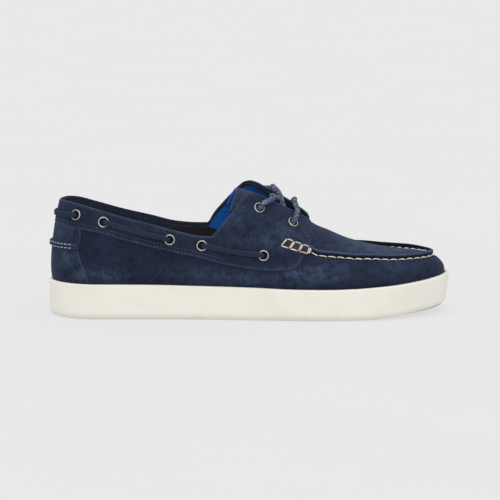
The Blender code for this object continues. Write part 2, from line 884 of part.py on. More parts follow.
def cut_eyelet_holes(saddle, upper):
    """Holes for the eyelets: through the saddle, and through the upper only where the throat lace passes."""
    body = bmesh.new()
    radius = (EYELET_BORE + EYELET_BARREL_WALL + GAP) / math.cos(math.pi / EYELET_SIDES)
    outside = 0.004
    for side in SIDES:
        for eyelet in EYELETS:
            seat, way = eyelet_seat(eyelet, side)
            depth = SADDLE_THICKNESS + GAP + POCKET_DEPTH
            if eyelet.through:
                depth = SADDLE_THICKNESS + GAP + UPPER_WALL + outside
            turn = way.to_track_quat("Z", "Y").to_matrix().to_4x4()
            turn.translation = seat + way * (outside - depth) / 2
            bmesh.ops.create_cone(
                body,
                cap_ends=True,
                segments=EYELET_SIDES,
                radius1=radius,
                radius2=radius,
                depth=outside + depth,
                matrix=turn,
            )
    mesh = bpy.data.meshes.new("eyelet_cutters")
    body.to_mesh(mesh)
    body.free()
    cutter = bpy.data.objects.new("eyelet_cutters", mesh)
    cutter.hide_render = True
    cutter.display_type = "WIRE"
    bpy.data.collections[CUTTERS].objects.link(cutter)
    for obj in (saddle, upper):
        cut = obj.modifiers.new("eyelet_holes", "BOOLEAN")
        cut.operation = "DIFFERENCE"
        cut.object = cutter


def swept_strap(name, path, wide, half_width, half_thickness, material_):
    """Flat strap along a path: wide gives, at each point, the way its width lies."""
    corners = 6
    rings = []
    for i, point in enumerate(path):
        before, after = path[max(0, i - 1)], path[min(len(path) - 1, i + 1)]
        way = (after - before).normalized()
        across_ = (wide[i] - way * wide[i].dot(way)).normalized()
        thick = way.cross(across_)
        ring = []
        for k in range(corners):
            angle = 2 * math.pi * (k + 0.5) / corners
            round_off = abs(math.cos(angle)) ** 0.6, abs(math.sin(angle)) ** 0.6
            a = math.copysign(round_off[0], math.cos(angle)) * half_width
            b = math.copysign(round_off[1], math.sin(angle)) * half_thickness
            ring.append(point + across_ * a + thick * b)
        rings.append(ring)
    points = [p for ring in rings for p in ring]
    faces = []
    for i in range(len(rings) - 1):
        for k in range(corners):
            a, b = i * corners + k, i * corners + (k + 1) % corners
            faces.append([a, b, b + corners, a + corners])
    faces.append(list(range(corners))[::-1])
    faces.append([len(points) - corners + k for k in range(corners)])
    return mesh_object(name, points, faces, material_)


def strap_end(eyelet, side, towards):
    """Path of a strap out of an eyelet, and the side-view place where it has come down on to the saddle."""
    seat, way = eyelet_seat(eyelet, side)
    on = (towards - way * towards.dot(way)).normalized()
    half = SIDE_LACE_THICKNESS / 2
    over = GAP + EYELET_DOME + GAP + half
    inside = SADDLE_THICKNESS + 0.5 * POCKET_DEPTH
    path = [
        seat - way * inside,
        seat + way * 0.1 * over + on * 0.0003,
        seat + way * 0.72 * over + on * 0.0010,
        seat + way * (over + 0.0001) + on * 0.0024,
        seat + way * (over + 0.0001) + on * (EYELET_RADIUS + 0.0002),
        seat + way * (over - 0.0001) + on * (EYELET_RADIUS + 0.0011),
    ]
    return path, way


def strap_run(first, last, side, count):
    """Path of a strap over the saddle between two eyelets of one side."""
    half = SIDE_LACE_THICKNESS / 2
    u0, t0 = eyelet_place(first, side)
    u1, t1 = eyelet_place(last, side)
    clear = EYELET_RADIUS + 0.0022
    start, stop = last_point(u0, t0, side), last_point(u1, t1, side)
    trim = clear / (stop - start).length
    path, ways = [], []
    for k in range(count + 1):
        share = trim + (1 - 2 * trim) * k / count
        u, t = u0 + (u1 - u0) * share, t0 + (t1 - t0) * share
        path.append(off_last(u, t, side, GAP + SADDLE_THICKNESS + 1.5 * GAP + half))
        ways.append(last_normal(u, t, side))
    return path, ways


def build_side_lace(name, first, last, side, leather):
    """A visible run of the collar lace, from one eyelet to the next on the same side."""
    seat_a, _ = eyelet_seat(first, side)
    seat_b, _ = eyelet_seat(last, side)
    head, way_a = strap_end(first, side, seat_b - seat_a)
    tail, way_b = strap_end(last, side, seat_a - seat_b)
    middle, ways = strap_run(first, last, side, 7)
    path = head + middle + tail[::-1]
    normals = [way_a] * len(head) + ways + [way_b] * len(tail)
    along_ = (seat_b - seat_a).normalized()
    wide = [n.cross(along_) for n in normals]
    swept_strap(
        name, path, wide, SIDE_LACE_WIDTH / 2, SIDE_LACE_THICKNESS / 2, leather
    )


def build_heel_lace(leather):
    """The run of the collar lace around the back of the heel, between the two rearmost eyelets."""
    heel = EYELETS[0]
    half = SIDE_LACE_THICKNESS / 2
    path, wide = [], []
    for side in SIDES:
        u0, t0 = eyelet_place(heel, side)
        z = last_point(u0, t0, side).z
        back = last_point(u0 - 0.05, t0, side) - last_point(u0, t0, side)
        head, way = strap_end(heel, side, back)
        clear = EYELET_RADIUS + 0.0022
        trim = clear / back.length * 0.05 / u0
        points, ups = list(head), [way.cross(back.normalized())] * len(head)
        count = 5
        for k in range(count + (side == LATERAL)):
            share = trim + (1 - trim) * k / count
            u = u0 * (1 - share)
            t = t_on_line(u, side, lambda _: z)
            points.append(off_last(u, t, side, GAP + SADDLE_THICKNESS + 1.5 * GAP + half))
            ups.append(Vector((0.0, 0.0, 1.0)) * (1 if ups[0].z > 0 else -1))
        if side == MEDIAL:
            points, ups = points[::-1], ups[::-1]
        path += points
        wide += [v if v.z > 0 else -v for v in ups]
    swept_strap(
        "side_lace_heel", path, wide, SIDE_LACE_WIDTH / 2, SIDE_LACE_THICKNESS / 2, leather
    )


def flap_edge(side, x):
    """A flap's edge at x from the heel: its outer corner, the way out of it, and the way on past it."""
    u = station_at(x)
    t = t_on_line(u, side, topline(side))
    past = (last_point(u, t + 0.01, side) - last_point(u, t - 0.01, side)).normalized()
    return off_last(u, t, side, GAP + SADDLE_THICKNESS), last_normal(u, t, side), past


def lace_out(eyelet, side, over_x):
    """Route of the throat lace from inside an eyelet, out and over the flap's edge at over_x."""
    seat, way = eyelet_seat(eyelet, side)
    corner, out, past = flap_edge(side, over_x)
    on = corner - seat
    on = (on - way * on.dot(way)).normalized()
    clear = GAP + EYELET_DOME + GAP + LACE_RADIUS
    over = LACE_RADIUS + 2 * GAP
    inside = SADDLE_THICKNESS + GAP + UPPER_WALL + LACE_RADIUS + 2 * GAP
    return [
        seat - way * inside,
        seat - way * 0.4 * inside,
        seat + way * 0.5 * clear + on * 0.2 * EYELET_BORE,
        seat + way * 1.1 * clear + on * 0.9 * EYELET_BORE,
        seat + way * clear + on * 1.3 * EYELET_RADIUS,
        corner + out * over - past * over,
        corner + (out + past).normalized() * over,
    ]


def lace_under(eyelet, side, under_x):
    """Route of the throat lace from inside an eyelet, under the flap and out past its edge at under_x."""
    u0, t0 = eyelet_place(eyelet, side)
    u1 = station_at(under_x)
    t1 = t_on_line(u1, side, topline(side))
    below = UPPER_WALL + LACE_RADIUS + 3 * GAP
    points = []
    for share in (0.25, 0.6, 1.0):
        u, t = u0 + (u1 - u0) * share, t0 + (t1 - t0) * share
        points.append(off_last(u, t, side, -below))
    _, _, past = flap_edge(side, under_x)
    points.append(points[-1] + past * 2 * LACE_RADIUS)
    return points


def throat_point(x, across_, height):
    """Point between the flaps: shares of the sole's length, of the ball width and of the flaps' height."""
    return Vector(
        ((x - 0.5) * SOLE_LENGTH, across_ * BALL_WIDTH, height * FLAP_HEIGHT)
    )


def rounded_route(points, spacing):
    """Evenly spaced points on a smooth curve through the route's own points."""
    dense = []
    ends = [2 * points[0] - points[1]] + points + [2 * points[-1] - points[-2]]
    for before, a, b, after in zip(ends, ends[1:], ends[2:], ends[3:]):
        for k in range(12):
            s = k / 12
            dense.append(
                a
                + (b - before) * (s / 2)
                + (2 * before - 5 * a + 4 * b - after) * (s * s / 2)
                + (3 * a - before - 3 * b + after) * (s**3 / 2)
            )
    dense.append(points[-1])
    lengths = [0.0]
    for a, b in zip(dense, dense[1:]):
        lengths.append(lengths[-1] + (b - a).length)
    count = max(2, round(lengths[-1] / spacing))
    even, k = [], 0
    for i in range(count + 1):
        goal = lengths[-1] * i / count
        while k < len(dense) - 2 and lengths[k + 1] < goal:
            k += 1
        part = (goal - lengths[k]) / max(1e-9, lengths[k + 1] - lengths[k])
        even.append(dense[k].lerp(dense[k + 1], part))
    return even


def build_throat_lace(cord):
    """One lace through the four throat eyelets: a bar in front, and two strands that cross behind it."""
    rear, front = EYELETS[5], EYELETS[6]
    over_rear, over_rear_medial, over_front, under = (0.543, 0.553, 0.617, 0.592)
    route = lace_out(rear, LATERAL, over_rear * SOLE_LENGTH)
    route += [throat_point(0.5730, 0.000, 0.888)]
    route += lace_under(front, MEDIAL, under * SOLE_LENGTH)[::-1]
    route += lace_out(front, MEDIAL, over_front * SOLE_LENGTH)
    route += [throat_point(0.6110, 0.020, 0.880)]
    route += lace_out(front, LATERAL, over_front * SOLE_LENGTH)[::-1]
    route += lace_under(front, LATERAL, under * SOLE_LENGTH)
    route += [throat_point(0.5740, 0.000, 0.934)]
    route += lace_out(rear, MEDIAL, over_rear_medial * SOLE_LENGTH)[::-1]
    curve = bpy.data.curves.new("lace", "CURVE")
    curve.dimensions = "3D"
    curve.bevel_depth = LACE_RADIUS
    curve.bevel_resolution = 1
    curve.use_fill_caps = True
    points = rounded_route(route, 1.5 * LACE_RADIUS)
    spline = curve.splines.new("POLY")
    spline.points.add(len(points) - 1)
    for slot, point in zip(spline.points, points):
        slot.co = (*point, 1.0)
    curve.materials.append(cord)
    obj = bpy.data.objects.new("lace", curve)
    bpy.data.collections[PARTS].objects.link(obj)


def build():
    start_scene()
    suede = material("navy_suede", (0.022, 0.036, 0.085), 0.92)
    saddle_suede = material("saddle_suede", (0.026, 0.042, 0.095), 0.92)
    counter_suede = material("counter_suede", (0.030, 0.048, 0.110), 0.92)
    tab_suede = material("tab_suede", (0.026, 0.042, 0.095), 0.92)
    tongue_suede = material("tongue_suede", (0.022, 0.036, 0.085), 0.92)
    rubber = material("off_white_rubber", (0.80, 0.79, 0.72), 0.45)
    footbed = material("footbed", (0.030, 0.040, 0.075), 0.85)
    metal = material("eyelet_metal", (0.45, 0.43, 0.38), 0.35, 1.0)
    leather = material("side_lace_leather", (0.020, 0.030, 0.065), 0.75)
    cord = material("lace_cord", (0.14, 0.17, 0.26), 0.85)
    ring_body("cupsole", cupsole_profile, rubber)
    ring_body("insole", insole_profile, footbed)
    upper = build_upper(suede)
    saddle = build_saddle(saddle_suede)
    build_counter(counter_suede)
    build_tab(tab_suede)
    build_tongue(tongue_suede)
    build_eyelets(metal)
    cut_eyelet_holes(saddle, upper)
    for side in SIDES:
        name = side_name(side)
        build_side_lace(f"side_lace_{name}_rear", EYELETS[1], EYELETS[2], side, leather)
        build_side_lace(f"side_lace_{name}_front", EYELETS[3], EYELETS[4], side, leather)
    build_heel_lace(leather)
    build_throat_lace(cord)


build()
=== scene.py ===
"""Boat shoe: suede upper and overlays, leather laces, rope lace, metal eyelets and a rubber cupsole.

Metres, +Z up, +X towards the toe, -Y the outer (lateral) side. Every surface is read from the last of the
shoe: w runs around it from -1 through 0 at the heel to 1, both ends at the toe, negative on the lateral side,
and t climbs from 0 at the sole's edge to 1 on the ridge line.
"""

import math
from collections import namedtuple
from functools import lru_cache

import bpy
import numpy as np
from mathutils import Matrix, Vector
from mathutils.kdtree import KDTree


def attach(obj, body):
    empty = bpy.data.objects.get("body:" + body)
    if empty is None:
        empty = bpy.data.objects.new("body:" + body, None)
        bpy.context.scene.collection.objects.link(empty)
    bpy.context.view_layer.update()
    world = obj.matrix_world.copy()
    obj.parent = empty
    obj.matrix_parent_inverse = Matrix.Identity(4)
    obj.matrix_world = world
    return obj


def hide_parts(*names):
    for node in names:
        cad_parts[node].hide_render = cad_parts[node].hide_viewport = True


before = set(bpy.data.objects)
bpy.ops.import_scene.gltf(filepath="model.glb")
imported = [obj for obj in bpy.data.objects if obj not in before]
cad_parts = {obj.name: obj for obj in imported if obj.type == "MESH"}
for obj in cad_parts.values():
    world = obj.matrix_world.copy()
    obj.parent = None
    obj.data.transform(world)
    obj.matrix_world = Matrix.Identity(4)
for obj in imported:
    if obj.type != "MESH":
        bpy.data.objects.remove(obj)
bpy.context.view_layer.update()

LATERAL = -1
MEDIAL = 1
SIDES = (LATERAL, MEDIAL)
SIDE_NAMES = {LATERAL: "lateral", MEDIAL: "medial"}
MM = 0.001

# Driving sizes of the shoe
SOLE_LENGTH = 0.300
BALL_WIDTH = 0.104
COLLAR_HEIGHT = 0.088
FLAP_HEIGHT = 0.095
TOE_HEIGHT = 0.0456
SIDEWALL_HEIGHT = 0.0264
TOE_SPRING = 0.0058
HEEL_ROUND = 0.036
TOE_ROUND = 0.060

# Thicknesses and clearances
GAP = 0.00035
UPPER_WALL = 0.0020
SADDLE_THICKNESS = 0.0014
COUNTER_THICKNESS = 0.0012
TAB_THICKNESS = 0.0016
TONGUE_THICKNESS = 0.0024
INSOLE_THICKNESS = 0.0045
INSOLE_ROUND = 0.0015
FOXING_WALL = 0.0032
SOLE_EDGE_RADIUS = 0.0055
SOLE_RIM_ROUND = 0.0009
TOE_WALL_LEAN = 0.0022
HEEL_FLOOR = 0.0130
BALL_FLOOR = 0.0080
WAIST_RECESS = 0.0012

# The raised moccasin seam around the toe plug
RIDGE_HEIGHT = 0.0037
RIDGE_THICKNESS = 0.0028
LIP_LEAN = 0.35
PUCKERS = 150
PUCKER_DEPTH = 0.00022
LIP_FADE = (0.0062, 0.0022)

# Rows of the lip's section around its dark folds, and how deep the shade is there
LIP_FOLDS = ((2, 3, 6, 7, 12, 13, 16, 18), (0, -1, -1, 0, 0, -0.9, -0.9, 0))

# Seam of the blue lining on the side view: a place on it, and how far it falls for each length forward
LINING_SEAM = (0.1150, 0.0632, 0.42)

# The tab across the heel: its edges as shares of the collar's height, its reach of the sole's length
TAB_LOW = 0.589
TAB_HIGH = 0.636
TAB_REACH = 0.0700
HEEL_WRAP = 0.105

# Tongue: ends and corner as shares of the sole's length, half-width of the ball width, sag of the flaps'
TONGUE_REAR = 0.4647
TONGUE_FRONT = 0.680
TONGUE_CORNER = 0.020
TONGUE_HALF = 0.2385
TONGUE_SAG = 0.158

# Eyelets and laces
EYELET_RADIUS = 0.0041
EYELET_BORE = 0.0028
EYELET_DOME = 0.0009
EYELET_MARGIN = 0.0090
EYELET_DEPTH = 0.0016
HOLE_DEPTH = 0.0030
LACE_RADIUS = 0.0019
STRANDS = 3
STRAND_PITCH = 0.0078
STRAND_OFFSET = 0.56
STRAND_RADIUS = 0.50
SIDE_LACE_WIDTH = 0.0038
SIDE_LACE_THICKNESS = 0.0018

# Where the throat ends and how the sections fan out at both ends, as shares of the sole's length
THROAT_FRONT = 0.648
HEEL_FAN_START = 0.38
HEEL_FAN_PULL = 0.050
TOE_FAN_START = 0.75
TOE_FAN_PULL = 0.036

# Radii of the holes for the eyelets: in the saddle, in the upper's skin and in its lining
SADDLE_HOLE = 0.0033
UPPER_HOLE = 0.0038
LINING_HOLE = 0.0050

# Fineness of the meshes
STEP = 0.0013
INSOLE_STEP = 0.003
FLAT_LACE_STEP = 0.0006
ROPE_STEP = 0.00055
UPPER_LOW_ROWS = 26
UPPER_HIGH_ROWS = 10
ROLL_ROWS = 8
CUT_EDGE_ROUND = 0.0008

Outline = namedtuple("Outline", "x lateral medial")
Rim = namedtuple("Rim", "x height")
Ground = namedtuple("Ground", "x lift floor")
Section = namedtuple("Section", "x squareness belly plug")
Spine = namedtuple("Spine", "x shift height")
Edge = namedtuple("Edge", "x lateral medial")
Line = namedtuple("Line", "x height")
Front = namedtuple("Front", "height x")
Crown = namedtuple("Crown", "x height")
Eyelet = namedtuple("Eyelet", "name x edge margin through")
Lip = namedtuple("Lip", "across height")
Crease = namedtuple("Crease", "side x0 z0 x1 z1 width depth")
Scuff = namedtuple("Scuff", "x z reach tall strength")
Stitch = namedtuple("Stitch", "length pitch radius arch first", defaults=(0.0, 0.0))


def table(kind, *rows):
    return tuple(kind(*row) for row in rows)


# Half-widths of the sole, as shares of the ball width, before the ends are rounded off
SOLE_OUTLINE = table(
    Outline,
    (0.00, 0.330, 0.330), (0.11, 0.336, 0.334), (0.25, 0.352, 0.338), (0.40, 0.392, 0.340),
    (0.50, 0.436, 0.366), (0.60, 0.478, 0.424), (0.68, 0.498, 0.470), (0.75, 0.496, 0.494),
    (0.82, 0.474, 0.492), (0.90, 0.432, 0.466), (1.00, 0.370, 0.420),
)

# Top edge of the cupsole, as shares of the side wall's height at the heel
SOLE_RIM = table(
    Rim,
    (0.00, 1.02), (0.12, 1.00), (0.25, 0.99), (0.37, 0.962), (0.49, 0.938), (0.61, 0.892),
    (0.69, 0.888), (0.75, 0.905), (0.81, 0.944), (0.86, 0.978), (0.92, 1.035), (0.97, 1.094),
    (1.00, 1.140),
)

# Underside of the sole: lift as a share of the toe spring, and the cup's floor from 0 at the ball's thickness
# to 1 at the heel's
SOLE_GROUND = table(
    Ground,
    (0.00, 0.00, 1.00), (0.25, 0.00, 0.90), (0.45, 0.00, 0.45), (0.62, 0.00, 0.05), (0.70, 0.00, 0.00),
    (0.78, 0.06, 0.00), (0.84, 0.26, 0.00), (0.90, 0.54, 0.00), (0.95, 0.76, 0.00), (1.00, 1.00, 0.00),
)

# Sections of the upper: exponent of the superellipse, belly as a share of the ball width, and how far out the
# moccasin seam lies, as a share of the way from the ridge line to the sole's edge
SECTIONS = table(
    Section,
    (0.00, 2.44, 0.012, 0.90), (0.12, 2.52, 0.012, 0.90), (0.25, 2.50, 0.008, 0.90),
    (0.40, 2.45, 0.006, 0.90), (0.49, 2.85, 0.006, 0.89), (0.55, 2.40, 0.008, 0.875),
    (0.60, 2.05, 0.010, 0.840), (0.647, 1.82, 0.012, 0.785), (0.69, 1.82, 0.012, 0.752),
    (0.75, 1.92, 0.010, 0.710), (0.82, 2.18, 0.008, 0.685), (0.90, 2.38, 0.005, 0.685),
    (1.00, 2.47, 0.002, 0.694),
)

# Ridge line of the last: sideways shift as a share of the ball width, and height from 0 at the toe's to 1 at
# the flaps'
RIDGE_LINE = table(
    Spine,
    (0.16, 0.000, 1.587), (0.33, 0.000, 1.506), (0.40, 0.010, 1.425), (0.49, 0.018, 1.162),
    (0.55, 0.022, 0.939), (0.593, 0.026, 0.775), (0.627, 0.030, 0.645), (0.640, 0.032, 0.555),
    (0.653, 0.033, 0.445), (0.700, 0.038, 0.306), (0.747, 0.038, 0.182), (0.787, 0.036, 0.109),
    (0.833, 0.032, 0.040), (0.88, 0.028, 0.000),
)

# Topline of the collar as shares of its height, and edge of the two flaps as shares of theirs
COLLAR_LINE = table(
    Edge,
    (0.000, 0.964, 0.964), (0.028, 0.976, 0.976), (0.045, 0.982, 0.982), (0.065, 0.975, 0.973),
    (0.116, 0.932, 0.920), (0.185, 0.862, 0.852), (0.253, 0.803, 0.797), (0.322, 0.741, 0.740),
    (0.370, 0.708, 0.726),
)
FLAP_LINE = table(
    Edge,
    (0.397, 0.652, 0.672), (0.414, 0.702, 0.752), (0.437, 0.788, 0.836), (0.458, 0.866, 0.908),
    (0.478, 0.944, 0.976), (0.487, 0.966, 1.000), (0.502, 0.972, 1.012), (0.517, 0.958, 1.000),
    (0.542, 0.916, 0.958), (0.590, 0.838, 0.878), (0.626, 0.776, 0.800), (0.640, 0.748, 0.768),
    (0.648, 0.706, 0.724),
)

# Lower edge of the saddle, as shares of the collar's height
SADDLE_LOW = table(
    Line,
    (0.000, 0.794), (0.080, 0.757), (0.133, 0.723), (0.185, 0.670), (0.253, 0.612), (0.321, 0.558),
    (0.364, 0.530), (0.408, 0.488), (0.451, 0.459), (0.506, 0.433), (0.549, 0.423), (0.580, 0.425),
    (0.600, 0.445), (0.614, 0.483), (0.622, 0.524), (0.630, 0.562), (0.641, 0.628), (0.648, 0.680),
)

# Front edge of the heel counter: share of the sole's length at each share of the collar's height
COUNTER_FRONT = table(
    Front,
    (0.290, 0.101), (0.395, 0.090), (0.490, 0.079), (0.560, 0.073), (0.600, 0.073), (0.660, 0.078),
    (0.765, 0.080),
)

# Middle line of the tongue's outer face, from 0 at the toe's height to 1 at the flaps'
TONGUE_CROWN = table(
    Crown,
    (0.460, 0.990), (0.505, 0.905), (0.550, 0.765), (0.593, 0.600), (0.627, 0.460), (0.653, 0.362),
    (0.682, 0.282),
)

# Eyelets of one side, from the heel: margin is the distance from the named edge, as a share of the eyelet
# margin, and through says that the hole goes through the upper too
EYELETS = table(
    Eyelet,
    ("heel", 0.071, "top", 0.95, False),
    ("collar_rear", 0.135, "top", 0.90, False),
    ("collar_middle", 0.297, "top", 0.86, False),
    ("collar_front", 0.376, "top", 0.78, False),
    ("saddle", 0.526, "low", 1.20, False),
    ("throat_rear", 0.515, "top", 1.05, True),
    ("throat_front", 0.598, "top", 0.92, True),
)

# Section across the moccasin lip: across in half thicknesses of the lip, height in its full heights
LIP_SECTION = table(
    Lip,
    (-2.60, 0.00), (-2.00, -0.02), (-1.50, -0.07), (-1.18, -0.08), (-1.04, 0.06), (-1.00, 0.30),
    (-0.98, 0.62), (-0.94, 0.86), (-0.82, 0.97), (-0.50, 1.00), (0.00, 1.01), (0.50, 0.98),
    (0.82, 0.94), (0.94, 0.80), (0.98, 0.55), (1.00, 0.25), (1.08, 0.02), (1.30, -0.08), (1.70, -0.04),
    (2.40, 0.00),
)

# Soft creases of the suede on the side view, in millimetres from the heel and above the ground
CREASES = table(
    Crease,
    (LATERAL, 178, 30, 200, 40, 7.0, 0.55), (LATERAL, 196, 29, 214, 37, 6.0, 0.40),
    (LATERAL, 132, 60, 162, 66, 8.0, 0.45), (LATERAL, 150, 73, 186, 62, 6.0, 0.40),
    (LATERAL, 60, 52, 118, 36, 9.0, 0.50), (LATERAL, 36, 33, 66, 46, 8.0, 0.45),
    (LATERAL, 8, 44, 18, 52, 5.0, 0.35), (LATERAL, 118, 44, 150, 32, 7.0, 0.45),
    (LATERAL, 236, 32, 262, 38, 6.0, 0.30), (MEDIAL, 180, 30, 204, 41, 7.0, 0.55),
    (MEDIAL, 208, 30, 228, 38, 6.0, 0.35), (MEDIAL, 140, 62, 172, 64, 8.0, 0.45),
    (MEDIAL, 70, 50, 124, 38, 9.0, 0.50), (MEDIAL, 40, 34, 64, 45, 8.0, 0.40),
)

# Paler scuffed places on the side view, in millimetres: middle, reach along and up, and strength
SCUFFS = table(
    Scuff,
    (13, 46, 6.5, 7, 1.00), (25, 33, 6.5, 5, 0.90), (43, 33, 14, 5, 0.95), (11, 63, 7, 7, 0.60),
    (112, 33, 26, 6, 0.55), (141, 31, 16, 5, 0.65), (186, 34, 26, 6, 1.00), (205, 38, 18, 6, 0.55),
    (135, 76, 12, 9, 0.50), (172, 66, 20, 8, 0.55), (160, 58, 26, 6, 0.45), (232, 53, 34, 6, 0.60),
    (262, 41, 20, 7, 0.35), (250, 49, 24, 4, 0.90), (70, 66, 30, 5, 0.35),
)

# Stitches: tone-on-tone rows, hand stitches outside and inside the lip, and the rows on the heel tab
TONE_STITCH = Stitch(0.0017, 0.0026, 0.00022)
OUTER_HAND_STITCH = Stitch(0.0061, 0.0068, 0.00055, 0.0003, 0.0003)
INNER_HAND_STITCH = Stitch(0.0047, 0.0058, 0.00058, 0.0003, 0.0026)
TAB_STITCH = Stitch(0.0028, 0.0038, 0.00028)
LADDER_RADIUS = 0.00052
HAND_SEAM_START = 0.1922

# Insets of the tone-on-tone rows: two along the saddle's lower edge, of which the second ends at a share of
# the sole's length, one along the topline, and one along it on the lining
LOW_ROW = 0.0014
SECOND_ROW = 0.0038
SECOND_ROW_END = 0.42
TOP_ROW = 0.0016
LINING_ROW = 0.0031
SEAM_STEP = 0.0006

# Row of stitches on the flap's side view, from its rear edge to its front edge under the two throat eyelets
FLAP_SEAM = (
    (0.1385, 0.0835), (0.1455, 0.0820), (0.1505, 0.0788), (0.1593, 0.0757), (0.1666, 0.0714),
    (0.1735, 0.0682), (0.1830, 0.0653), (0.1915, 0.0615),
)
FLAP_SEAM_APART = 0.0020

# Ladder of hand stitches over the saddle where the lip starts: its lower and upper end corners on the side
# view, and its number of boxes
BOX_LOW = ((0.1699, 0.0551), (0.1896, 0.0481))
BOX_HIGH = ((0.1745, 0.0597), (0.1917, 0.0528))
BOX_COUNT = 3
PILLOW_HALF = 0.0028
PILLOW_HEIGHT = 0.0010
PILLOW_GAIN = 0.0016


def smooth(rows, column, x):
    """Values of one column of a table at x, on a smooth curve through its rows that never overshoots them."""
    places = np.array([row[0] for row in rows], float)
    values = np.array([getattr(row, column) for row in rows], float)
    steps = np.diff(places)
    slopes = np.diff(values) / steps
    before, after, left, right = slopes[:-1], slopes[1:], steps[:-1], steps[1:]
    near, far = 2 * right + left, right + 2 * left
    alike = before * after > 0
    safe_before, safe_after = np.where(alike, before, 1.0), np.where(alike, after, 1.0)
    inner = np.where(alike, (near + far) / (near / safe_before + far / safe_after), 0.0)
    tangents = np.concatenate([slopes[:1], inner, slopes[-1:]])
    x = np.clip(x, places[0], places[-1])
    k = np.clip(np.searchsorted(places, x, side="right") - 1, 0, len(steps) - 1)
    h = steps[k]
    s = (x - places[k]) / h
    return (
        values[k] * (1 + 2 * s) * (1 - s) ** 2
        + tangents[k] * h * s * (1 - s) ** 2
        + values[k + 1] * s * s * (3 - 2 * s)
        + tangents[k + 1] * h * s * s * (s - 1)
    )


def eased(low, high, x):
    """0 below low, 1 above high and a smooth step between them."""
    s = np.clip((x - low) / (high - low), 0.0, 1.0)
    return s * s * (3 - 2 * s)


def vec(x, y, z):
    return np.stack(np.broadcast_arrays(x, y, z), axis=-1).astype(float)


def unit(vectors):
    return vectors / np.maximum(np.linalg.norm(vectors, axis=-1, keepdims=True), 1e-12)


def lengths_along(points):
    """Length of a path up to each of its points."""
    return np.concatenate([[0], np.cumsum(np.linalg.norm(np.diff(points, axis=0), axis=1))])


def read_at(at, places, rows):
    """Points or ways given at some places along a path, read at others."""
    return np.stack([np.interp(at, places, rows[:, k]) for k in range(3)], axis=1)


def along(u):
    """Distance from the heel of station u, dense at both ends."""
    return SOLE_LENGTH * (1 - np.cos(math.pi * u)) / 2


def station_at(x):
    """Station whose distance from the heel is x."""
    return np.arccos(np.clip(1 - 2 * x / SOLE_LENGTH, -1, 1)) / math.pi


def folded(w):
    """A station past the toe is one on the other side."""
    w = np.asarray(w, float)
    return np.where(w > 1, w - 2, np.where(w < -1, w + 2, w))


def of_side(rows, w, share):
    """Value of a table with a column for each side."""
    return np.where(w < 0, smooth(rows, "lateral", share), smooth(rows, "medial", share))


def sole_edge(w):
    """Points of the sole's outline in plan."""
    w = folded(w)
    x = along(np.abs(w))
    width = of_side(SOLE_OUTLINE, w, x / SOLE_LENGTH) * BALL_WIDTH
    for left, round_off in ((x, HEEL_ROUND), (SOLE_LENGTH - x, TOE_ROUND)):
        width = width * np.sqrt(1 - np.clip(1 - left / round_off, 0, 1) ** 2)
    return vec(x - SOLE_LENGTH / 2, np.sign(w) * width, 0.0)


def plan_outwards(w):
    """Unit vectors that point out of the sole's outline in plan."""
    run = sole_edge(w + 0.004) - sole_edge(w - 0.004)
    return unit(vec(-run[..., 1], run[..., 0], 0.0))


def inset_edge(w, inset, z=0.0):
    """Points of the sole's outline moved inwards, at a height."""
    point = sole_edge(w) - plan_outwards(w) * np.asarray(inset, float)[..., None]
    point[..., 2] = z
    return point


def share_of(w):
    return along(np.abs(folded(w))) / SOLE_LENGTH


def rim_height(w):
    return smooth(SOLE_RIM, "height", share_of(w)) * SIDEWALL_HEIGHT


def ground_lift(w):
    return smooth(SOLE_GROUND, "lift", share_of(w)) * TOE_SPRING


def cup_floor(w):
    floor = smooth(SOLE_GROUND, "floor", share_of(w))
    return ground_lift(w) + BALL_FLOOR + floor * (HEEL_FLOOR - BALL_FLOOR)


def between_toe_and_flaps(share):
    return TOE_HEIGHT + share * (FLAP_HEIGHT - TOE_HEIGHT)


def ridge_point(w):
    """Points of the last's ridge line that the sections climb to. They fan out at heel and toe."""
    x = along(np.abs(folded(w)))
    heel_fan, toe_fan = HEEL_FAN_START * SOLE_LENGTH, TOE_FAN_START * SOLE_LENGTH
    x = (
        x
        + HEEL_FAN_PULL * np.clip(1 - x / heel_fan, 0, 1) ** 2
        - TOE_FAN_PULL * np.clip((x - toe_fan) / (SOLE_LENGTH - toe_fan), 0, 1) ** 2
    )
    shift = smooth(RIDGE_LINE, "shift", x / SOLE_LENGTH) * BALL_WIDTH
    height = between_toe_and_flaps(smooth(RIDGE_LINE, "height", x / SOLE_LENGTH))
    return vec(x - SOLE_LENGTH / 2, shift, height)


def last_point(w, t):
    """Points of the last: the upper's outer face before any crease."""
    w, t = np.broadcast_arrays(folded(w), t)
    share = share_of(w)
    power = 2 / smooth(SECTIONS, "squareness", share)
    angle = np.clip(t, 0, 1) * math.pi / 2
    out = np.maximum(0.0, np.cos(angle)) ** power
    up = np.sin(angle) ** power
    ridge = ridge_point(w)
    foot = inset_edge(w, FOXING_WALL + GAP, rim_height(w))
    point = ridge + (foot - ridge) * vec(out, out, 1 - up)
    belly_at = 0.15
    swell = up / belly_at * np.exp(1 - up / belly_at) * (1 - up)
    belly = smooth(SECTIONS, "belly", share) * BALL_WIDTH
    return point + plan_outwards(w) * (belly * swell)[..., None]


def last_frame(w, t):
    """Points of the last, and how they move with w and with t."""
    dw, dt = 0.004, 0.012
    run = (last_point(w + dw, t) - last_point(w - dw, t)) / (2 * dw)
    high, low = np.minimum(t + dt, 1.0), np.maximum(t - dt, 0.0)
    climb = (last_point(w, high) - last_point(w, low)) / (high - low)[..., None]
    return last_point(w, t), run, climb


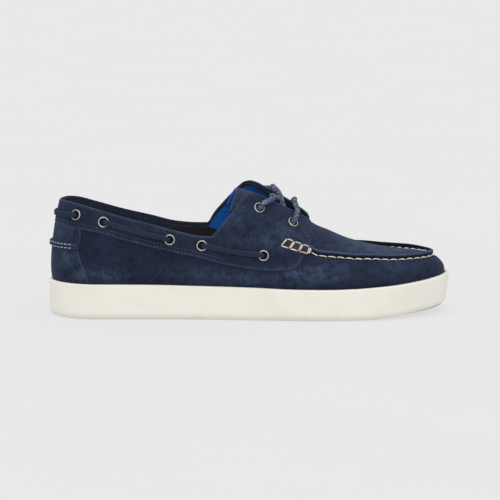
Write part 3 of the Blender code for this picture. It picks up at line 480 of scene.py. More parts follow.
def crease_depth(point):
    """How far the creases move the suede at each point of the last: soft troughs with low shoulders."""
    x, z = point[..., 0] + SOLE_LENGTH / 2, point[..., 2]
    depth = np.zeros_like(x)
    for crease in CREASES:
        start = np.array([crease.x0, crease.z0]) * MM
        way = np.array([crease.x1, crease.z1]) * MM - start
        part = np.clip(((x - start[0]) * way[0] + (z - start[1]) * way[1]) / way.dot(way), 0, 1)
        away = np.hypot(x - start[0] - part * way[0], z - start[1] - part * way[1])
        share = (away / (crease.width * MM)) ** 2
        here = np.sign(point[..., 1]) == crease.side
        depth -= here * crease.depth * MM * (1 - 0.9 * share) * np.exp(-share)
    return depth


def skin(w, t, distance=0.0):
    """Points at a distance outside the creased last, and the unit vectors out of it."""
    w, t, distance = np.broadcast_arrays(w, np.asarray(t, float), distance)
    point, run, climb = last_frame(w, t)
    normal = np.cross(climb, run)
    flat = np.linalg.norm(normal, axis=-1, keepdims=True) < 1e-9
    normal = np.where(flat, np.array([0.0, 0.0, 1.0]), unit(normal))
    calm = eased(0.02, 0.16, t)
    return point + normal * (distance + calm * crease_depth(point))[..., None], normal


def t_on_line(w, line):
    """t where each station's section first climbs over a line drawn on the side view."""
    w = np.atleast_1d(np.asarray(w, float))[:, None]
    shares = np.linspace(0, 1, 41)[None, 1:]

    def over(t):
        point = last_point(w, t)
        return point[..., 2] > line(point[..., 0] + SOLE_LENGTH / 2, w)

    above = over(shares)
    met = above.any(axis=1)
    first = above.argmax(axis=1)
    high = np.where(met, shares[0, first], 1.0)[:, None]
    low = np.where(met, high[:, 0] - shares[0, 0], 1.0)[:, None]
    for _ in range(14):
        middle = (low + high) / 2
        above = over(middle)
        high, low = np.where(above, middle, high), np.where(above, low, middle)
    return (low + high)[:, 0] / 2


def topline(x, w):
    """Height of the collar's and the flap's edge on the side view."""
    sides = []
    for name in SIDE_NAMES.values():
        rows = [Line(row.x, getattr(row, name) * COLLAR_HEIGHT) for row in COLLAR_LINE]
        rows += [Line(row.x, getattr(row, name) * FLAP_HEIGHT) for row in FLAP_LINE]
        sides.append(smooth(rows, "height", x / SOLE_LENGTH))
    return np.where(w < 0, *sides)


def saddle_low_line(x, w=0.0):
    return smooth(SADDLE_LOW, "height", x / SOLE_LENGTH) * COLLAR_HEIGHT


def find_on_side(side, x, z):
    """w and t of the points that show at x from the heel and height z on one side's view."""
    x, z = np.atleast_1d(x).astype(float), np.atleast_1d(z).astype(float)
    u = station_at(x)
    for _ in range(6):
        t = t_on_line(side * u, lambda _x, _w: z[:, None])
        miss = x - (last_point(side * u, t)[..., 0] + SOLE_LENGTH / 2)
        u = station_at(along(u) + miss)
    return side * u, t


def seam_t(w):
    """t of the moccasin seam."""
    share = share_of(w)
    out = smooth(SECTIONS, "plug", share)
    return np.arccos(out ** (smooth(SECTIONS, "squareness", share) / 2)) * 2 / math.pi


def climb_speed(w, t):
    """Metres that a section climbs for each unit of t."""
    return np.linalg.norm(last_point(w, t + 0.01) - last_point(w, t), axis=-1) / 0.01


def nearest(points, marks):
    """Distance from each point to the nearest of the marks."""
    tree = KDTree(len(marks))
    for k, mark in enumerate(marks):
        tree.insert(mark, k)
    tree.balance()
    flat = points.reshape(-1, 3)
    return np.array([tree.find(p)[2] for p in flat]).reshape(points.shape[:-1])


def line_marks(w, t, distance):
    """Closely spaced points along a line on the last, for measuring distances from it."""
    points, _ = skin(w, t, distance)
    lengths = lengths_along(points)
    even = np.linspace(0, lengths[-1], max(2, int(lengths[-1] / 0.0003)))
    return read_at(even, lengths, points)


def edge_distance(points, marks):
    """Distance of a grid's points from its own edge, which the marks follow."""
    edge = nearest(points, np.concatenate(marks))
    edge[:, [0, -1]] = 0
    edge[[0, -1], :] = 0
    return edge


def scuffed(points):
    """How scuffed the suede is at each point, from 0 to 1."""
    x, z = (points[..., 0] + SOLE_LENGTH / 2) / MM, points[..., 2] / MM
    clean = np.ones_like(x)
    for scuff in SCUFFS:
        away = ((x - scuff.x) / scuff.reach) ** 2 + ((z - scuff.z) / scuff.tall) ** 2
        clean *= 1 - 0.85 * scuff.strength * np.exp(-away)
    return 1 - clean


class Sheets:
    """Collects grids of points into one mesh, joins points that coincide, and carries values on them."""

    def __init__(self, *values):
        self.points, self.faces, self.slots = [], [], []
        self.values = {name: [] for name in values}
        self.count = 0

    def grid(self, points, keep=None, slot=0, closed=False, flip=False, **values):
        """Adds a grid, its first direction along w or a path. keep says which of its faces stay."""
        n, m = points.shape[:2]
        index = self.count + np.arange(n * m).reshape(n, m)
        near, far = (index, np.roll(index, -1, axis=0)) if closed else (index[:-1], index[1:])
        quads = np.stack([near[:, :-1], near[:, 1:], far[:, 1:], far[:, :-1]], axis=-1)
        if flip:
            quads = quads[..., ::-1]
        chosen = quads.reshape(-1, 4) if keep is None else quads[keep]
        self.points.append(points.reshape(-1, 3))
        self.faces.append(chosen)
        self.slots.append(np.full(len(chosen), slot))
        for name, found in self.values.items():
            found.append(np.broadcast_to(values.get(name, 0.0), (n, m)).reshape(-1))
        self.count += n * m

    def object(self, name, *materials):
        points = np.concatenate(self.points)
        _, first, where = np.unique(
            np.round(points * 1e7).astype(np.int64), axis=0, return_index=True, return_inverse=True
        )
        faces = where.reshape(-1)[np.concatenate(self.faces)]
        slots = np.concatenate(self.slots)
        rings = [[v for k, v in enumerate(ring) if v != ring[k - 1]] for ring in faces.tolist()]
        whole = [k for k, ring in enumerate(rings) if len(set(ring)) > 2]
        mesh = bpy.data.meshes.new(name)
        mesh.from_pydata(points[first].tolist(), [], [rings[k] for k in whole])
        mesh.polygons.foreach_set("material_index", slots[whole].astype(np.int32))
        for label, found in self.values.items():
            layer = mesh.attributes.new(label, "FLOAT", "POINT")
            layer.data.foreach_set("value", np.concatenate(found)[first].astype(np.float32))
        mesh.shade_smooth()
        mesh.update()
        return piece(name, mesh, *materials)


def piece(name, mesh, *materials):
    """An object of the shoe, with its materials, riding on the shoe's one body."""
    for material in materials:
        mesh.materials.append(material)
    obj = bpy.data.objects.new(name, mesh)
    bpy.context.scene.collection.objects.link(obj)
    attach(obj, "root")
    return obj


class Graph:
    """Adds and joins the nodes of a material or of a shader group."""

    def __init__(self, tree):
        self.tree = tree

    def add(self, kind, settings=None, **inputs):
        node = self.tree.nodes.new(kind)
        for name, value in (settings or {}).items():
            setattr(node, name, value)
        for name, value in inputs.items():
            self.feed(node.inputs[name.replace("_", " ")], value)
        return node

    def feed(self, socket, value):
        if isinstance(value, bpy.types.NodeSocket):
            self.tree.links.new(value, socket)
        elif socket.type == "RGBA" and len(value) == 3:
            socket.default_value = (*value, 1.0)
        else:
            socket.default_value = value

    def place(self, scale=(1, 1, 1), turn=(0, 0, 0)):
        """The object's own coordinates, stretched and turned."""
        at = self.add("ShaderNodeTexCoord").outputs["Object"]
        return self.add("ShaderNodeMapping", Vector=at, Scale=scale, Rotation=turn).outputs[0]

    def noise(self, place, scale, detail=2.0, roughness=0.5):
        node = self.add(
            "ShaderNodeTexNoise", Vector=place, Scale=scale, Detail=detail, Roughness=roughness
        )
        return node.outputs["Fac"]

    def math(self, operation, a, b=0.0, clamp=False):
        node = self.add("ShaderNodeMath", {"operation": operation, "use_clamp": clamp})
        self.feed(node.inputs[0], a)
        self.feed(node.inputs[1], b)
        return node.outputs[0]

    def times(self, a, b, clamp=False):
        return self.math("MULTIPLY", a, b, clamp)

    def plus(self, a, b, clamp=False):
        return self.math("ADD", a, b, clamp)

    def mix(self, share, a, b):
        node = self.add("ShaderNodeMix", {"data_type": "RGBA"})
        self.feed(node.inputs[0], share)
        self.feed(node.inputs[6], a)
        self.feed(node.inputs[7], b)
        return node.outputs[2]

    def step(self, value, low, high, to_low=0.0, to_high=1.0):
        """Smooth step of a value from low to high."""
        node = self.add("ShaderNodeMapRange", {"interpolation_type": "SMOOTHSTEP"})
        for slot, number in zip(node.inputs, (value, low, high, to_low, to_high)):
            self.feed(slot, number)
        return node.outputs[0]

    def value(self, name):
        """A value carried by the mesh."""
        return self.add("ShaderNodeAttribute", {"attribute_name": name}).outputs["Fac"]

    def group(self, tree, **inputs):
        return self.add("ShaderNodeGroup", {"node_tree": tree}, **inputs).outputs


def shader_group(name, inputs, outputs):
    """An empty shader group: its graph, its inputs and its outputs."""
    tree = bpy.data.node_groups.new(name, "ShaderNodeTree")
    kinds = {"colour": "NodeSocketColor", "value": "NodeSocketFloat"}
    for label, kind in inputs:
        tree.interface.new_socket(label, in_out="INPUT", socket_type=kinds[kind])
    for label, kind in outputs:
        tree.interface.new_socket(label, in_out="OUTPUT", socket_type=kinds[kind])
    return Graph(tree), tree.nodes.new("NodeGroupInput").outputs, tree.nodes.new("NodeGroupOutput").inputs


def nap_group():
    """Suede: cloudy patches, brushed streaks and short fibres, paler where scuffed and along a cut edge.

    A Scuff below 0 darkens it instead to near-black navy: painted shade where two layers meet in a fold.
    """
    inputs = [("Deep", "colour"), ("Raised", "colour"), ("Scuffed", "colour")]
    # Scuff: above 0 the suede is scuffed, below 0 it gets painted shade
    inputs += [("Scuff", "value"), ("Edge", "value"), ("Edge Pale", "value")]
    graph, given, made = shader_group(
        "suede_nap", inputs, [("Colour", "colour"), ("Roughness", "value"), ("Height", "value")]
    )
    cloud = graph.noise(graph.place(), 42.0, 3.0, 0.55)
    patch = graph.noise(graph.place((1, 1, 1.4)), 150.0, 4.0, 0.6)
    brushed = graph.noise(graph.place((1, 1, 0.32), (0.0, 0.5, 0.2)), 620.0, 3.0, 0.6)
    fibre = graph.noise(graph.place((1, 1, 0.6), (0.3, 0.2, 0.0)), 2600.0, 2.0, 0.7)
    clouded, patched = graph.step(cloud, 0.30, 0.72, 0.0, 0.5), graph.step(patch, 0.3, 0.75, 0.0, 0.5)
    broad = graph.plus(clouded, patched)
    streaks, fibres = graph.step(brushed, 0.3, 0.7, -0.14, 0.2), graph.step(fibre, 0.25, 0.75, -0.15, 0.2)
    fine = graph.plus(streaks, fibres)
    raised = graph.plus(broad, fine, clamp=True)
    colour = graph.mix(raised, given["Deep"], given["Raised"])
    broken = graph.times(given["Scuff"], graph.step(patch, 0.34, 0.66, 0.25, 1.0))
    broken = graph.times(broken, graph.step(brushed, 0.3, 0.65, 0.45, 1.15), clamp=True)
    colour = graph.mix(broken, colour, given["Scuffed"])
    # Paler along a cut edge, in the Scuffed colour; the lip's top is given a tiny edge value for a painted
    # highlight
    cut = graph.step(given["Edge"], 0.5 * MM, 1.1 * MM, 1.0, 0.0)
    pale = graph.times(given["Edge Pale"], graph.step(patch, 0.3, 0.6, 0.5, 1.0))
    cut = graph.times(cut, pale)
    colour = graph.mix(cut, colour, given["Scuffed"])
    # Painted shade: a Scuff below 0 mixes in near-black navy on the lip's folded faces
    shade = graph.step(given["Scuff"], -1.0, 0.0, 0.75, 0.0)
    colour = graph.mix(shade, colour, (0.0020, 0.0028, 0.0060))
    graph.feed(made["Colour"], colour)
    graph.feed(made["Roughness"], graph.step(fine, -0.2, 0.35, 0.98, 0.86))
    height = graph.plus(graph.times(fibre, 0.6), graph.times(brushed, 0.5))
    graph.feed(made["Height"], graph.plus(height, graph.times(patch, 0.5)))
    return graph.tree


def grain_group():
    """Leather or cloth grain: small pebbles with darker valleys, and a slow change of tone."""
    graph, given, made = shader_group(
        "fine_grain",
        [("Base", "colour"), ("Worn", "colour"), ("Size", "value"), ("Wear", "value")],
        [("Colour", "colour"), ("Roughness", "value"), ("Height", "value")],
    )
    at = graph.place()
    pebble = graph.add("ShaderNodeTexVoronoi", Vector=at, Scale=given["Size"]).outputs["Distance"]
    tone = graph.noise(at, 130.0, 4.0, 0.6)
    fuzz = graph.noise(at, 1900.0, 2.0, 0.7)
    colour = graph.mix(graph.step(pebble, 0.15, 0.75, 0.0, 0.35), given["Base"], given["Worn"])
    share = graph.times(given["Wear"], graph.step(tone, 0.35, 0.7, 0.2, 1.0), clamp=True)
    colour = graph.mix(share, colour, given["Worn"])
    colour = graph.mix(graph.step(fuzz, 0.3, 0.7, 0.0, 0.18), colour, given["Worn"])
    graph.feed(made["Colour"], colour)
    graph.feed(made["Roughness"], graph.step(tone, 0.3, 0.7, 0.72, 0.92))
    graph.feed(made["Height"], graph.math("SUBTRACT", fuzz, graph.times(pebble, 0.8)))
    return graph.tree


def weathering_group():
    """Faint dirt and rub marks for smooth rubber and metal, as a mask and a height."""
    graph, given, made = shader_group(
        "rub_marks", [("Size", "value"), ("Amount", "value")], [("Mask", "value"), ("Height", "value")]
    )
    at = graph.place()
    large = graph.noise(at, given["Size"], 4.0, 0.6)
    small = graph.noise(at, 900.0, 3.0, 0.6)
    mask = graph.times(graph.step(large, 0.42, 0.75), graph.step(small, 0.3, 0.7, 0.4, 1.0))
    graph.feed(made["Mask"], graph.times(mask, given["Amount"], clamp=True))
    graph.feed(made["Height"], small)
    return graph.tree


NAP = nap_group()
GRAIN = grain_group()
RUB = weathering_group()


def finish(name, depth, strength, **constants):
    """A material with its own shader: constants are set on its sockets, and what varies is linked to them."""
    material = bpy.data.materials.new(name)
    material.use_nodes = True
    graph = Graph(material.node_tree)
    shader = material.node_tree.nodes["Principled BSDF"]
    for label, value in constants.items():
        graph.feed(shader.inputs[label.replace("_", " ")], value)

    def wire(colour, roughness, height):
        graph.feed(shader.inputs["Base Color"], colour)
        graph.feed(shader.inputs["Roughness"], roughness)
        bump = graph.add("ShaderNodeBump", Height=height, Distance=depth, Strength=strength)
        graph.feed(shader.inputs["Normal"], bump.outputs[0])
        return material

    return graph, wire


def look_of(group):
    return group["Colour"], group["Roughness"], group["Height"]


def suede(name, deep, raised, scuff_and_highlight_colour, edge_pale):
    graph, wire = finish(
        name,
        depth=0.0005,
        strength=0.55,
        Specular_IOR_Level=0.12,
        Sheen_Weight=0.10,
        Sheen_Roughness=0.50,
        Sheen_Tint=(0.35, 0.50, 0.85),
    )
    nap = graph.group(
        NAP,
        Deep=deep,
        Raised=raised,
        Scuffed=scuff_and_highlight_colour,
        Scuff=graph.value("scuff"),
        Edge=graph.value("edge"),
        Edge_Pale=edge_pale,
    )
    return wire(*look_of(nap))


def grained(name, base, worn, size, wear):
    graph, wire = finish(name, depth=0.0003, strength=0.6, Specular_IOR_Level=0.15)
    grain = graph.group(GRAIN, Base=base, Worn=worn, Size=size, Wear=wear)
    return wire(*look_of(grain))


def lining(name, collar, low, front):
    """Lining: a suede band along the collar, brown cloth below it, and blue cloth from a slanted seam on."""
    graph, wire = finish(name, depth=0.0003, strength=0.6, Specular_IOR_Level=0.15)
    past_seam = graph.step(graph.value("scuff"), -0.2 * MM, 0.2 * MM)
    band = graph.step(graph.value("edge"), 3.0 * MM, 3.3 * MM, 1.0, 0.0)
    base, worn = (
        graph.mix(band, graph.mix(past_seam, brown, blue), edging)
        for brown, blue, edging in zip(low, front, collar)
    )
    grain = graph.group(GRAIN, Base=base, Worn=worn, Size=1400.0, Wear=0.3)
    return wire(*look_of(grain))


def edged_leather(name, base, worn):
    """Lace leather: grained, and paler along its two cut edges."""
    graph, wire = finish(name, depth=0.0003, strength=0.6, Specular_IOR_Level=0.12)
    wear = graph.step(graph.value("edge"), 0.60, 0.97, 0.05, 0.95)
    grain = graph.group(GRAIN, Base=base, Worn=worn, Size=1500.0, Wear=wear)
    return wire(*look_of(grain))


def twisted(name, dark, light, grooved=False):
    """Cord and thread: heathered fibres; on a grooved cord, painted shade darkens it between its strands."""
    graph, wire = finish(name, depth=0.00025, strength=0.7, Specular_IOR_Level=0.2)
    at = graph.place()
    heather = graph.noise(at, 1400.0, 3.0, 0.7)
    slow = graph.noise(at, 320.0, 2.0, 0.5)
    flecks, drift = graph.step(heather, 0.35, 0.68), graph.step(slow, 0.35, 0.7, -0.25, 0.25)
    share = graph.plus(flecks, drift, clamp=True)
    # Painted shade: the cord darkens towards the rope's middle line, between its strands
    if grooved:
        share = graph.times(share, graph.step(graph.value("edge"), 0.72, 0.98, 0.1, 1.0))
    return wire(graph.mix(share, dark, light), graph.step(heather, 0.3, 0.7, 0.95, 0.8), heather)


def rubber(name, fresh, dirt):
    """Smooth rubber with faint dirt low down, and painted shade over the rim's top where the upper stands in
    it.
    """
    graph, wire = finish(name, depth=0.0002, strength=0.25)
    marks = graph.group(RUB, Size=55.0, Amount=0.45)
    # Rub marks, dirt low down and painted shade at the rim all mix towards the darker colour
    grime = graph.plus(marks["Mask"], graph.times(graph.value("grime"), 0.55), clamp=True)
    colour = graph.mix(graph.times(grime, 0.5), fresh, dirt)
    return wire(colour, graph.step(marks["Mask"], 0.0, 0.6, 0.42, 0.62), marks["Height"])


def tread_rubber(name, fresh, dirt):
    """The outsole's underside: wavy cuts across it, darker inside the cuts."""
    graph, wire = finish(name, depth=0.0012, strength=0.9)
    at = graph.place((1, 1, 0))
    wave = graph.add("ShaderNodeSeparateXYZ", Vector=at).outputs
    zigzag = graph.math("PINGPONG", wave["Y"], 0.004)
    shifted = graph.plus(wave["X"], zigzag)
    cut = graph.math("PINGPONG", shifted, 0.0021)
    groove = graph.step(cut, 0.00015, 0.00055)
    marks = graph.group(RUB, Size=70.0, Amount=0.7)
    # The cuts are darker than the rubber round them
    share = graph.math("SUBTRACT", 1.0, groove)
    share = graph.math("MAXIMUM", graph.times(share, 0.8), marks["Mask"])
    return wire(graph.mix(share, fresh, dirt), 0.6, groove)


def antique(name, bright, tarnish):
    """Antiqued metal with tarnish in its hollows."""
    graph, wire = finish(name, depth=0.0001, strength=0.3, Metallic=1.0)
    marks = graph.group(RUB, Size=420.0, Amount=0.9)
    colour = graph.mix(marks["Mask"], bright, tarnish)
    return wire(colour, graph.step(marks["Mask"], 0.0, 1.0, 0.32, 0.6), marks["Height"])


Dye = namedtuple("Dye", "deep raised")
Two = namedtuple("Two", "base worn")
# Pale navy of scuffs and cut edges, and the painted highlight along the moccasin lip's top
NAVY_SCUFF_AND_HIGHLIGHT = (0.0450, 0.0680, 0.1240)
UPPER_DYE = Dye((0.0072, 0.0104, 0.0235), (0.0160, 0.0226, 0.0475))
SADDLE_DYE = Dye((0.0084, 0.0120, 0.0258), (0.0182, 0.0256, 0.0520))
COUNTER_DYE = Dye((0.0070, 0.0108, 0.0238), (0.0162, 0.0240, 0.0500))
TONGUE_DYE = Dye((0.0120, 0.0168, 0.0330), (0.0240, 0.0335, 0.0620))
COLLAR_BAND = Two((0.0130, 0.0180, 0.0330), (0.0290, 0.0380, 0.0630))
BROWN_CLOTH = Two((0.0160, 0.0140, 0.0175), (0.0330, 0.0290, 0.0340))
BLUE_CLOTH = Two((0.0070, 0.1020, 0.4000), (0.0180, 0.1750, 0.5800))
BED_CLOTH = Two((0.0120, 0.0150, 0.0260), (0.0340, 0.0420, 0.0660))
LACE_HIDE = Two((0.0078, 0.0114, 0.0252), (0.0360, 0.0530, 0.0980))
UPPER_SUEDE = suede("navy_upper_suede", *UPPER_DYE, NAVY_SCUFF_AND_HIGHLIGHT, 0.90)
SADDLE_SUEDE = suede("navy_saddle_suede", *SADDLE_DYE, NAVY_SCUFF_AND_HIGHLIGHT, 0.75)
COUNTER_SUEDE = suede("navy_counter_suede", *COUNTER_DYE, NAVY_SCUFF_AND_HIGHLIGHT, 0.65)
TONGUE_SUEDE = suede("navy_tongue_suede", *TONGUE_DYE, NAVY_SCUFF_AND_HIGHLIGHT, 0.50)
LINING = lining("collar_lining", COLLAR_BAND, BROWN_CLOTH, BLUE_CLOTH)
BLUE_LINING = grained("bright_blue_lining", *BLUE_CLOTH, 1500.0, 0.35)
FOOTBED = grained("footbed_cloth", *BED_CLOTH, 900.0, 0.4)
SOLE_RUBBER = rubber("off_white_rubber", (0.770, 0.750, 0.675), (0.50, 0.47, 0.41))
TREAD_RUBBER = tread_rubber("off_white_tread", (0.72, 0.70, 0.63), (0.29, 0.27, 0.23))
EYELET_METAL = antique("antique_silver", (0.46, 0.44, 0.39), (0.09, 0.082, 0.070))
# Painted shade: near-black cloth at the bottom of the blind eyelet holes
HOLE_PAINTED_SHADE = grained("eyelet_hole_painted_shade", (0.004, 0.004, 0.006), (0.010, 0.010, 0.014), 1500.0, 0.2)
LACE_LEATHER = edged_leather("navy_lace_leather", *LACE_HIDE)
ROPE_CORD = twisted("heathered_rope", (0.0100, 0.0165, 0.0400), (0.2300, 0.2700, 0.3700), grooved=True)
NAVY_THREAD = twisted("pale_navy_thread", (0.0300, 0.0430, 0.0800), (0.0900, 0.1250, 0.2000))
CREAM_THREAD = twisted("cream_thread", (0.50, 0.45, 0.35), (0.88, 0.84, 0.74))
STRAW_THREAD = twisted("straw_thread", (0.40, 0.28, 0.11), (0.64, 0.50, 0.25))
WHITE_THREAD = twisted("white_thread", (0.28, 0.29, 0.32), (0.62, 0.63, 0.66))


def ring_stations(first, last, spacing=STEP):
    """Stations between two values of w, evenly spaced along the sole's edge and its middle height."""
    fine = np.linspace(first, last, 1600)
    points = last_point(fine, np.full_like(fine, 0.35))
    lengths = lengths_along(points)
    count = max(4, int(round(lengths[-1] / spacing)))
    return np.interp(np.linspace(0, lengths[-1], count + 1), lengths, fine)


def all_stations(spacing=STEP):
    """Stations all the way around, from the toe by the lateral side and the heel back to the toe."""
    return np.concatenate([ring_stations(-1.0, 0.0, spacing)[:-1], ring_stations(0.0, 1.0, spacing)])


def end_dense(stations, spacings=(0.0002, 0.0005, 0.0009)):
    """The same stations, with a few more close to both ends."""
    scale = abs(stations[1] - stations[0]) / STEP
    extra = [stations[0] + np.sign(stations[-1] - stations[0]) * scale * s for s in spacings]
    extra += [stations[-1] - np.sign(stations[-1] - stations[0]) * scale * s for s in spacings]
    return np.sort(np.concatenate([stations, extra]))


def dense_ends(count):
    """Shares from 0 to 1, close together at both ends."""
    return (1 - np.cos(np.linspace(0, math.pi, count + 1))) / 2


def rounded_edge(distance, radius=CUT_EDGE_ROUND):
    """Height of a cut edge's rounding at a distance from it, from 0 to 1."""
    return np.sqrt(np.clip(1 - (1 - np.clip(distance / radius, 0, 1)) ** 2, 0, 1))


THROAT_W = float(station_at(THROAT_FRONT * SOLE_LENGTH))


@lru_cache(maxsize=None)
def eyelet_place(eyelet, side):
    """w and t of an eyelet's centre."""
    x = eyelet.x * SOLE_LENGTH
    margin = eyelet.margin * EYELET_MARGIN
    edge = topline(x, side) - margin if eyelet.edge == "top" else saddle_low_line(x) + margin
    w, t = find_on_side(side, x, edge)
    return float(w[0]), float(t[0])


def eyelet_seat(eyelet, side):
    """Centre of an eyelet on the saddle's outer face, and the way out of the shoe there."""
    w, t = eyelet_place(eyelet, side)
    point, normal = skin(np.array([w]), np.array([t]), GAP + SADDLE_THICKNESS)
    return point[0], normal[0]


SEATS = {(eyelet.name, side): eyelet_seat(eyelet, side) for eyelet in EYELETS for side in SIDES}


def clear_of_eyelets(points, radius, through_only=False):
    """Which faces of a grid lie clear of the eyelets' holes."""
    middles = (points[:-1, :-1] + points[1:, 1:]) / 2
    keep = np.ones(middles.shape[:2], bool)
    for eyelet in EYELETS:
        if through_only and not eyelet.through:
            continue
        for side in SIDES:
            away = np.linalg.norm(middles - SEATS[eyelet.name, side][0], axis=-1)
            keep &= away > radius
    return keep


def lip_share(w):
    """1 along the toe, where the seam stands up as a lip, and 0 under the saddle."""
    front = THROAT_FRONT * SOLE_LENGTH
    start, whole = LIP_FADE
    return eased(front - start, front - whole, along(np.abs(folded(w))))


def upper_edge_t(w):
    """t of the upper's free edge: the topline, and in front of the throat the line it goes on along."""
    held = np.clip(folded(w), -THROAT_W, THROAT_W)
    return t_on_line(held, topline)


def lip_way(normal):
    """The way that the moccasin lip stands up: between straight up and out of the shoe."""
    return unit(normal * LIP_LEAN + np.array([0.0, 0.0, 1 - LIP_LEAN]))


def lip_point(w, across, height):
    """Point of the moccasin lip: across from its middle line, and height above the upper."""
    seam = seam_t(w)
    t = seam + across / climb_speed(w, seam)
    point, normal = skin(w, t)
    return point + lip_way(normal) * np.asarray(height)[..., None], normal


def build_upper():
    """Vamp, plug and quarters: an outer skin with the moccasin lip, and a lining inside."""
    sheets = Sheets("edge", "scuff")
    w = all_stations()
    edge = upper_edge_t(w)
    seam = seam_t(w)
    speed = climb_speed(w, seam)
    half = RIDGE_THICKNESS / 2
    forward = eased(0.50, 0.575, share_of(w))
    low_mark = t_on_line(w, saddle_low_line)
    middle = forward * seam + (1 - forward) * (low_mark + 0.5 * (edge - low_mark))
    lip_t = middle[:, None] + np.array([row.across for row in LIP_SECTION]) * (half / speed)[:, None]
    lip_t = np.clip(lip_t, 0, None)
    below = lip_t[:, :1] * (np.arange(UPPER_LOW_ROWS) / UPPER_LOW_ROWS)
    climbing = np.arange(1, UPPER_HIGH_ROWS + 1) / UPPER_HIGH_ROWS
    above = lip_t[:, -1:] + (edge[:, None] - lip_t[:, -1:]) * climbing
    t = np.concatenate([below, lip_t, np.maximum(above, lip_t[:, -1:])], axis=1)
    heights = np.zeros(t.shape)
    first = below.shape[1]
    pucker = PUCKER_DEPTH * np.cos(w * math.pi * PUCKERS)
    heights[:, first : first + len(LIP_SECTION)] = [row.height for row in LIP_SECTION]
    medial_rise = 1 + 0.25 * (w > 0) * (1 - eased(0.93, 1.0, share_of(w)))
    heights *= (RIDGE_HEIGHT * lip_share(w) * medial_rise)[:, None]
    outer, normal = skin(w[:, None], t)
    outer = outer + lip_way(normal) * heights[..., None]
    away = np.abs(t - (middle - 2.6 * half / speed)[:, None]) * speed[:, None]
    near_lip = np.exp(-((away / 0.0035) ** 2)) * lip_share(w)[:, None] * (t < middle[:, None])
    outer = outer + normal * (pucker[:, None] * near_lip)[..., None]
    foot = inset_edge(w, FOXING_WALL + GAP, rim_height(w) - 0.006)[:, None]
    outer = np.concatenate([foot, outer], axis=1)
    keep = clear_of_eyelets(outer, UPPER_HOLE, through_only=True)
    scuff = scuffed(outer)
    lip_rows = 1 + first + np.arange(len(LIP_SECTION))
    # Painted shade: the lip's near and inner faces get values below 0, which the suede turns near-black
    folds = np.interp(np.arange(len(LIP_SECTION)), *LIP_FOLDS)
    shaded = np.minimum(scuff[:, lip_rows], 0.3) * (folds == 0) + folds
    scuff[:, lip_rows] += (shaded - scuff[:, lip_rows]) * lip_share(w)[:, None]
    # Painted highlight: the lip's top rows get a tiny edge distance, so the suede pales there as at a cut
    # edge
    lip_top_highlight = np.full(outer.shape[:2], 0.01)
    top_rows = slice(1 + first + 7, 1 + first + 11)
    lip_top_highlight[:, top_rows] = np.where(lip_share(w)[:, None] > 0.5, 0.0004, 0.01)
    sheets.grid(outer, keep=keep, edge=lip_top_highlight, scuff=scuff)
    inner, _ = skin(w[:, None], t, -UPPER_WALL)
    inner_foot = inset_edge(w, FOXING_WALL + GAP + UPPER_WALL, cup_floor(w) + GAP)[:, None]
    inner = np.concatenate([inner_foot, inner], axis=1)
    inside = clear_of_eyelets(inner, LINING_HOLE, through_only=True)
    from_heel = inner[..., 0] + SOLE_LENGTH / 2
    below_rim = np.linalg.norm(inner - inner[:, -1:], axis=-1) - 0.007 * (1 - eased(0.080, 0.110, from_heel))
    seam_x, seam_z, seam_fall = LINING_SEAM
    past_seam = inner[..., 2] - seam_z + seam_fall * (from_heel - seam_x)
    sheets.grid(inner, keep=inside, slot=1, flip=True, edge=below_rim, scuff=past_seam)
    collar = np.abs(w) <= THROAT_W + 1e-6
    rim = rolled_rim(outer[collar, -1], inner[collar, -1], normal[collar, -1])
    sheets.grid(rim, slot=0, edge=0.01)
    add_plug(sheets, w, edge)
    obj = sheets.object("upper_suede", UPPER_SUEDE, LINING)
    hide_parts("upper")


def add_plug(sheets, w, edge):
    """The plug in front of the throat: two lined halves, and the rolled edge that the tongue goes under."""
    rows = np.linspace(0, 1, 16)
    lateral, medial = w <= -THROAT_W + 1e-6, w >= THROAT_W - 1e-6
    for chosen in (lateral, medial):
        t_plug = edge[chosen, None] + (1 - edge[chosen, None]) * rows
        top, _ = skin(w[chosen, None], t_plug)
        sheets.grid(top, edge=0.01, scuff=scuffed(top))
        under, _ = skin(w[chosen, None], t_plug, -UPPER_WALL)
        sheets.grid(under, slot=1, flip=True, edge=0.01, scuff=0.01)
    for chosen, column, turn in ((medial, 0, False), (lateral, -1, True)):
        at = w[chosen][column]
        t_plug = edge[chosen][column] + (1 - edge[chosen][column]) * rows
        top, out = skin(np.full_like(rows, at), t_plug)
        under, _ = skin(np.full_like(rows, at), t_plug, -UPPER_WALL)
        sheets.grid(rolled_rim(top, under, out), flip=turn, edge=0.0003, scuff=0.6)


def rolled_rim(outer, inner, out, count=ROLL_ROWS, roll=0.45):
    """Strip that rolls over from an outer edge to an inner one."""
    away = unit(np.cross(np.gradient(outer, axis=0), out))
    thick = np.linalg.norm(outer - inner, axis=-1)
    rows = []
    for k in range(count + 1):
        angle = math.pi * k / count
        share = (1 - math.cos(angle)) / 2
        lift = math.sin(angle) * roll
        rows.append(outer + (inner - outer) * share - away * (thick * lift)[:, None])
    return np.stack(rows, axis=1)


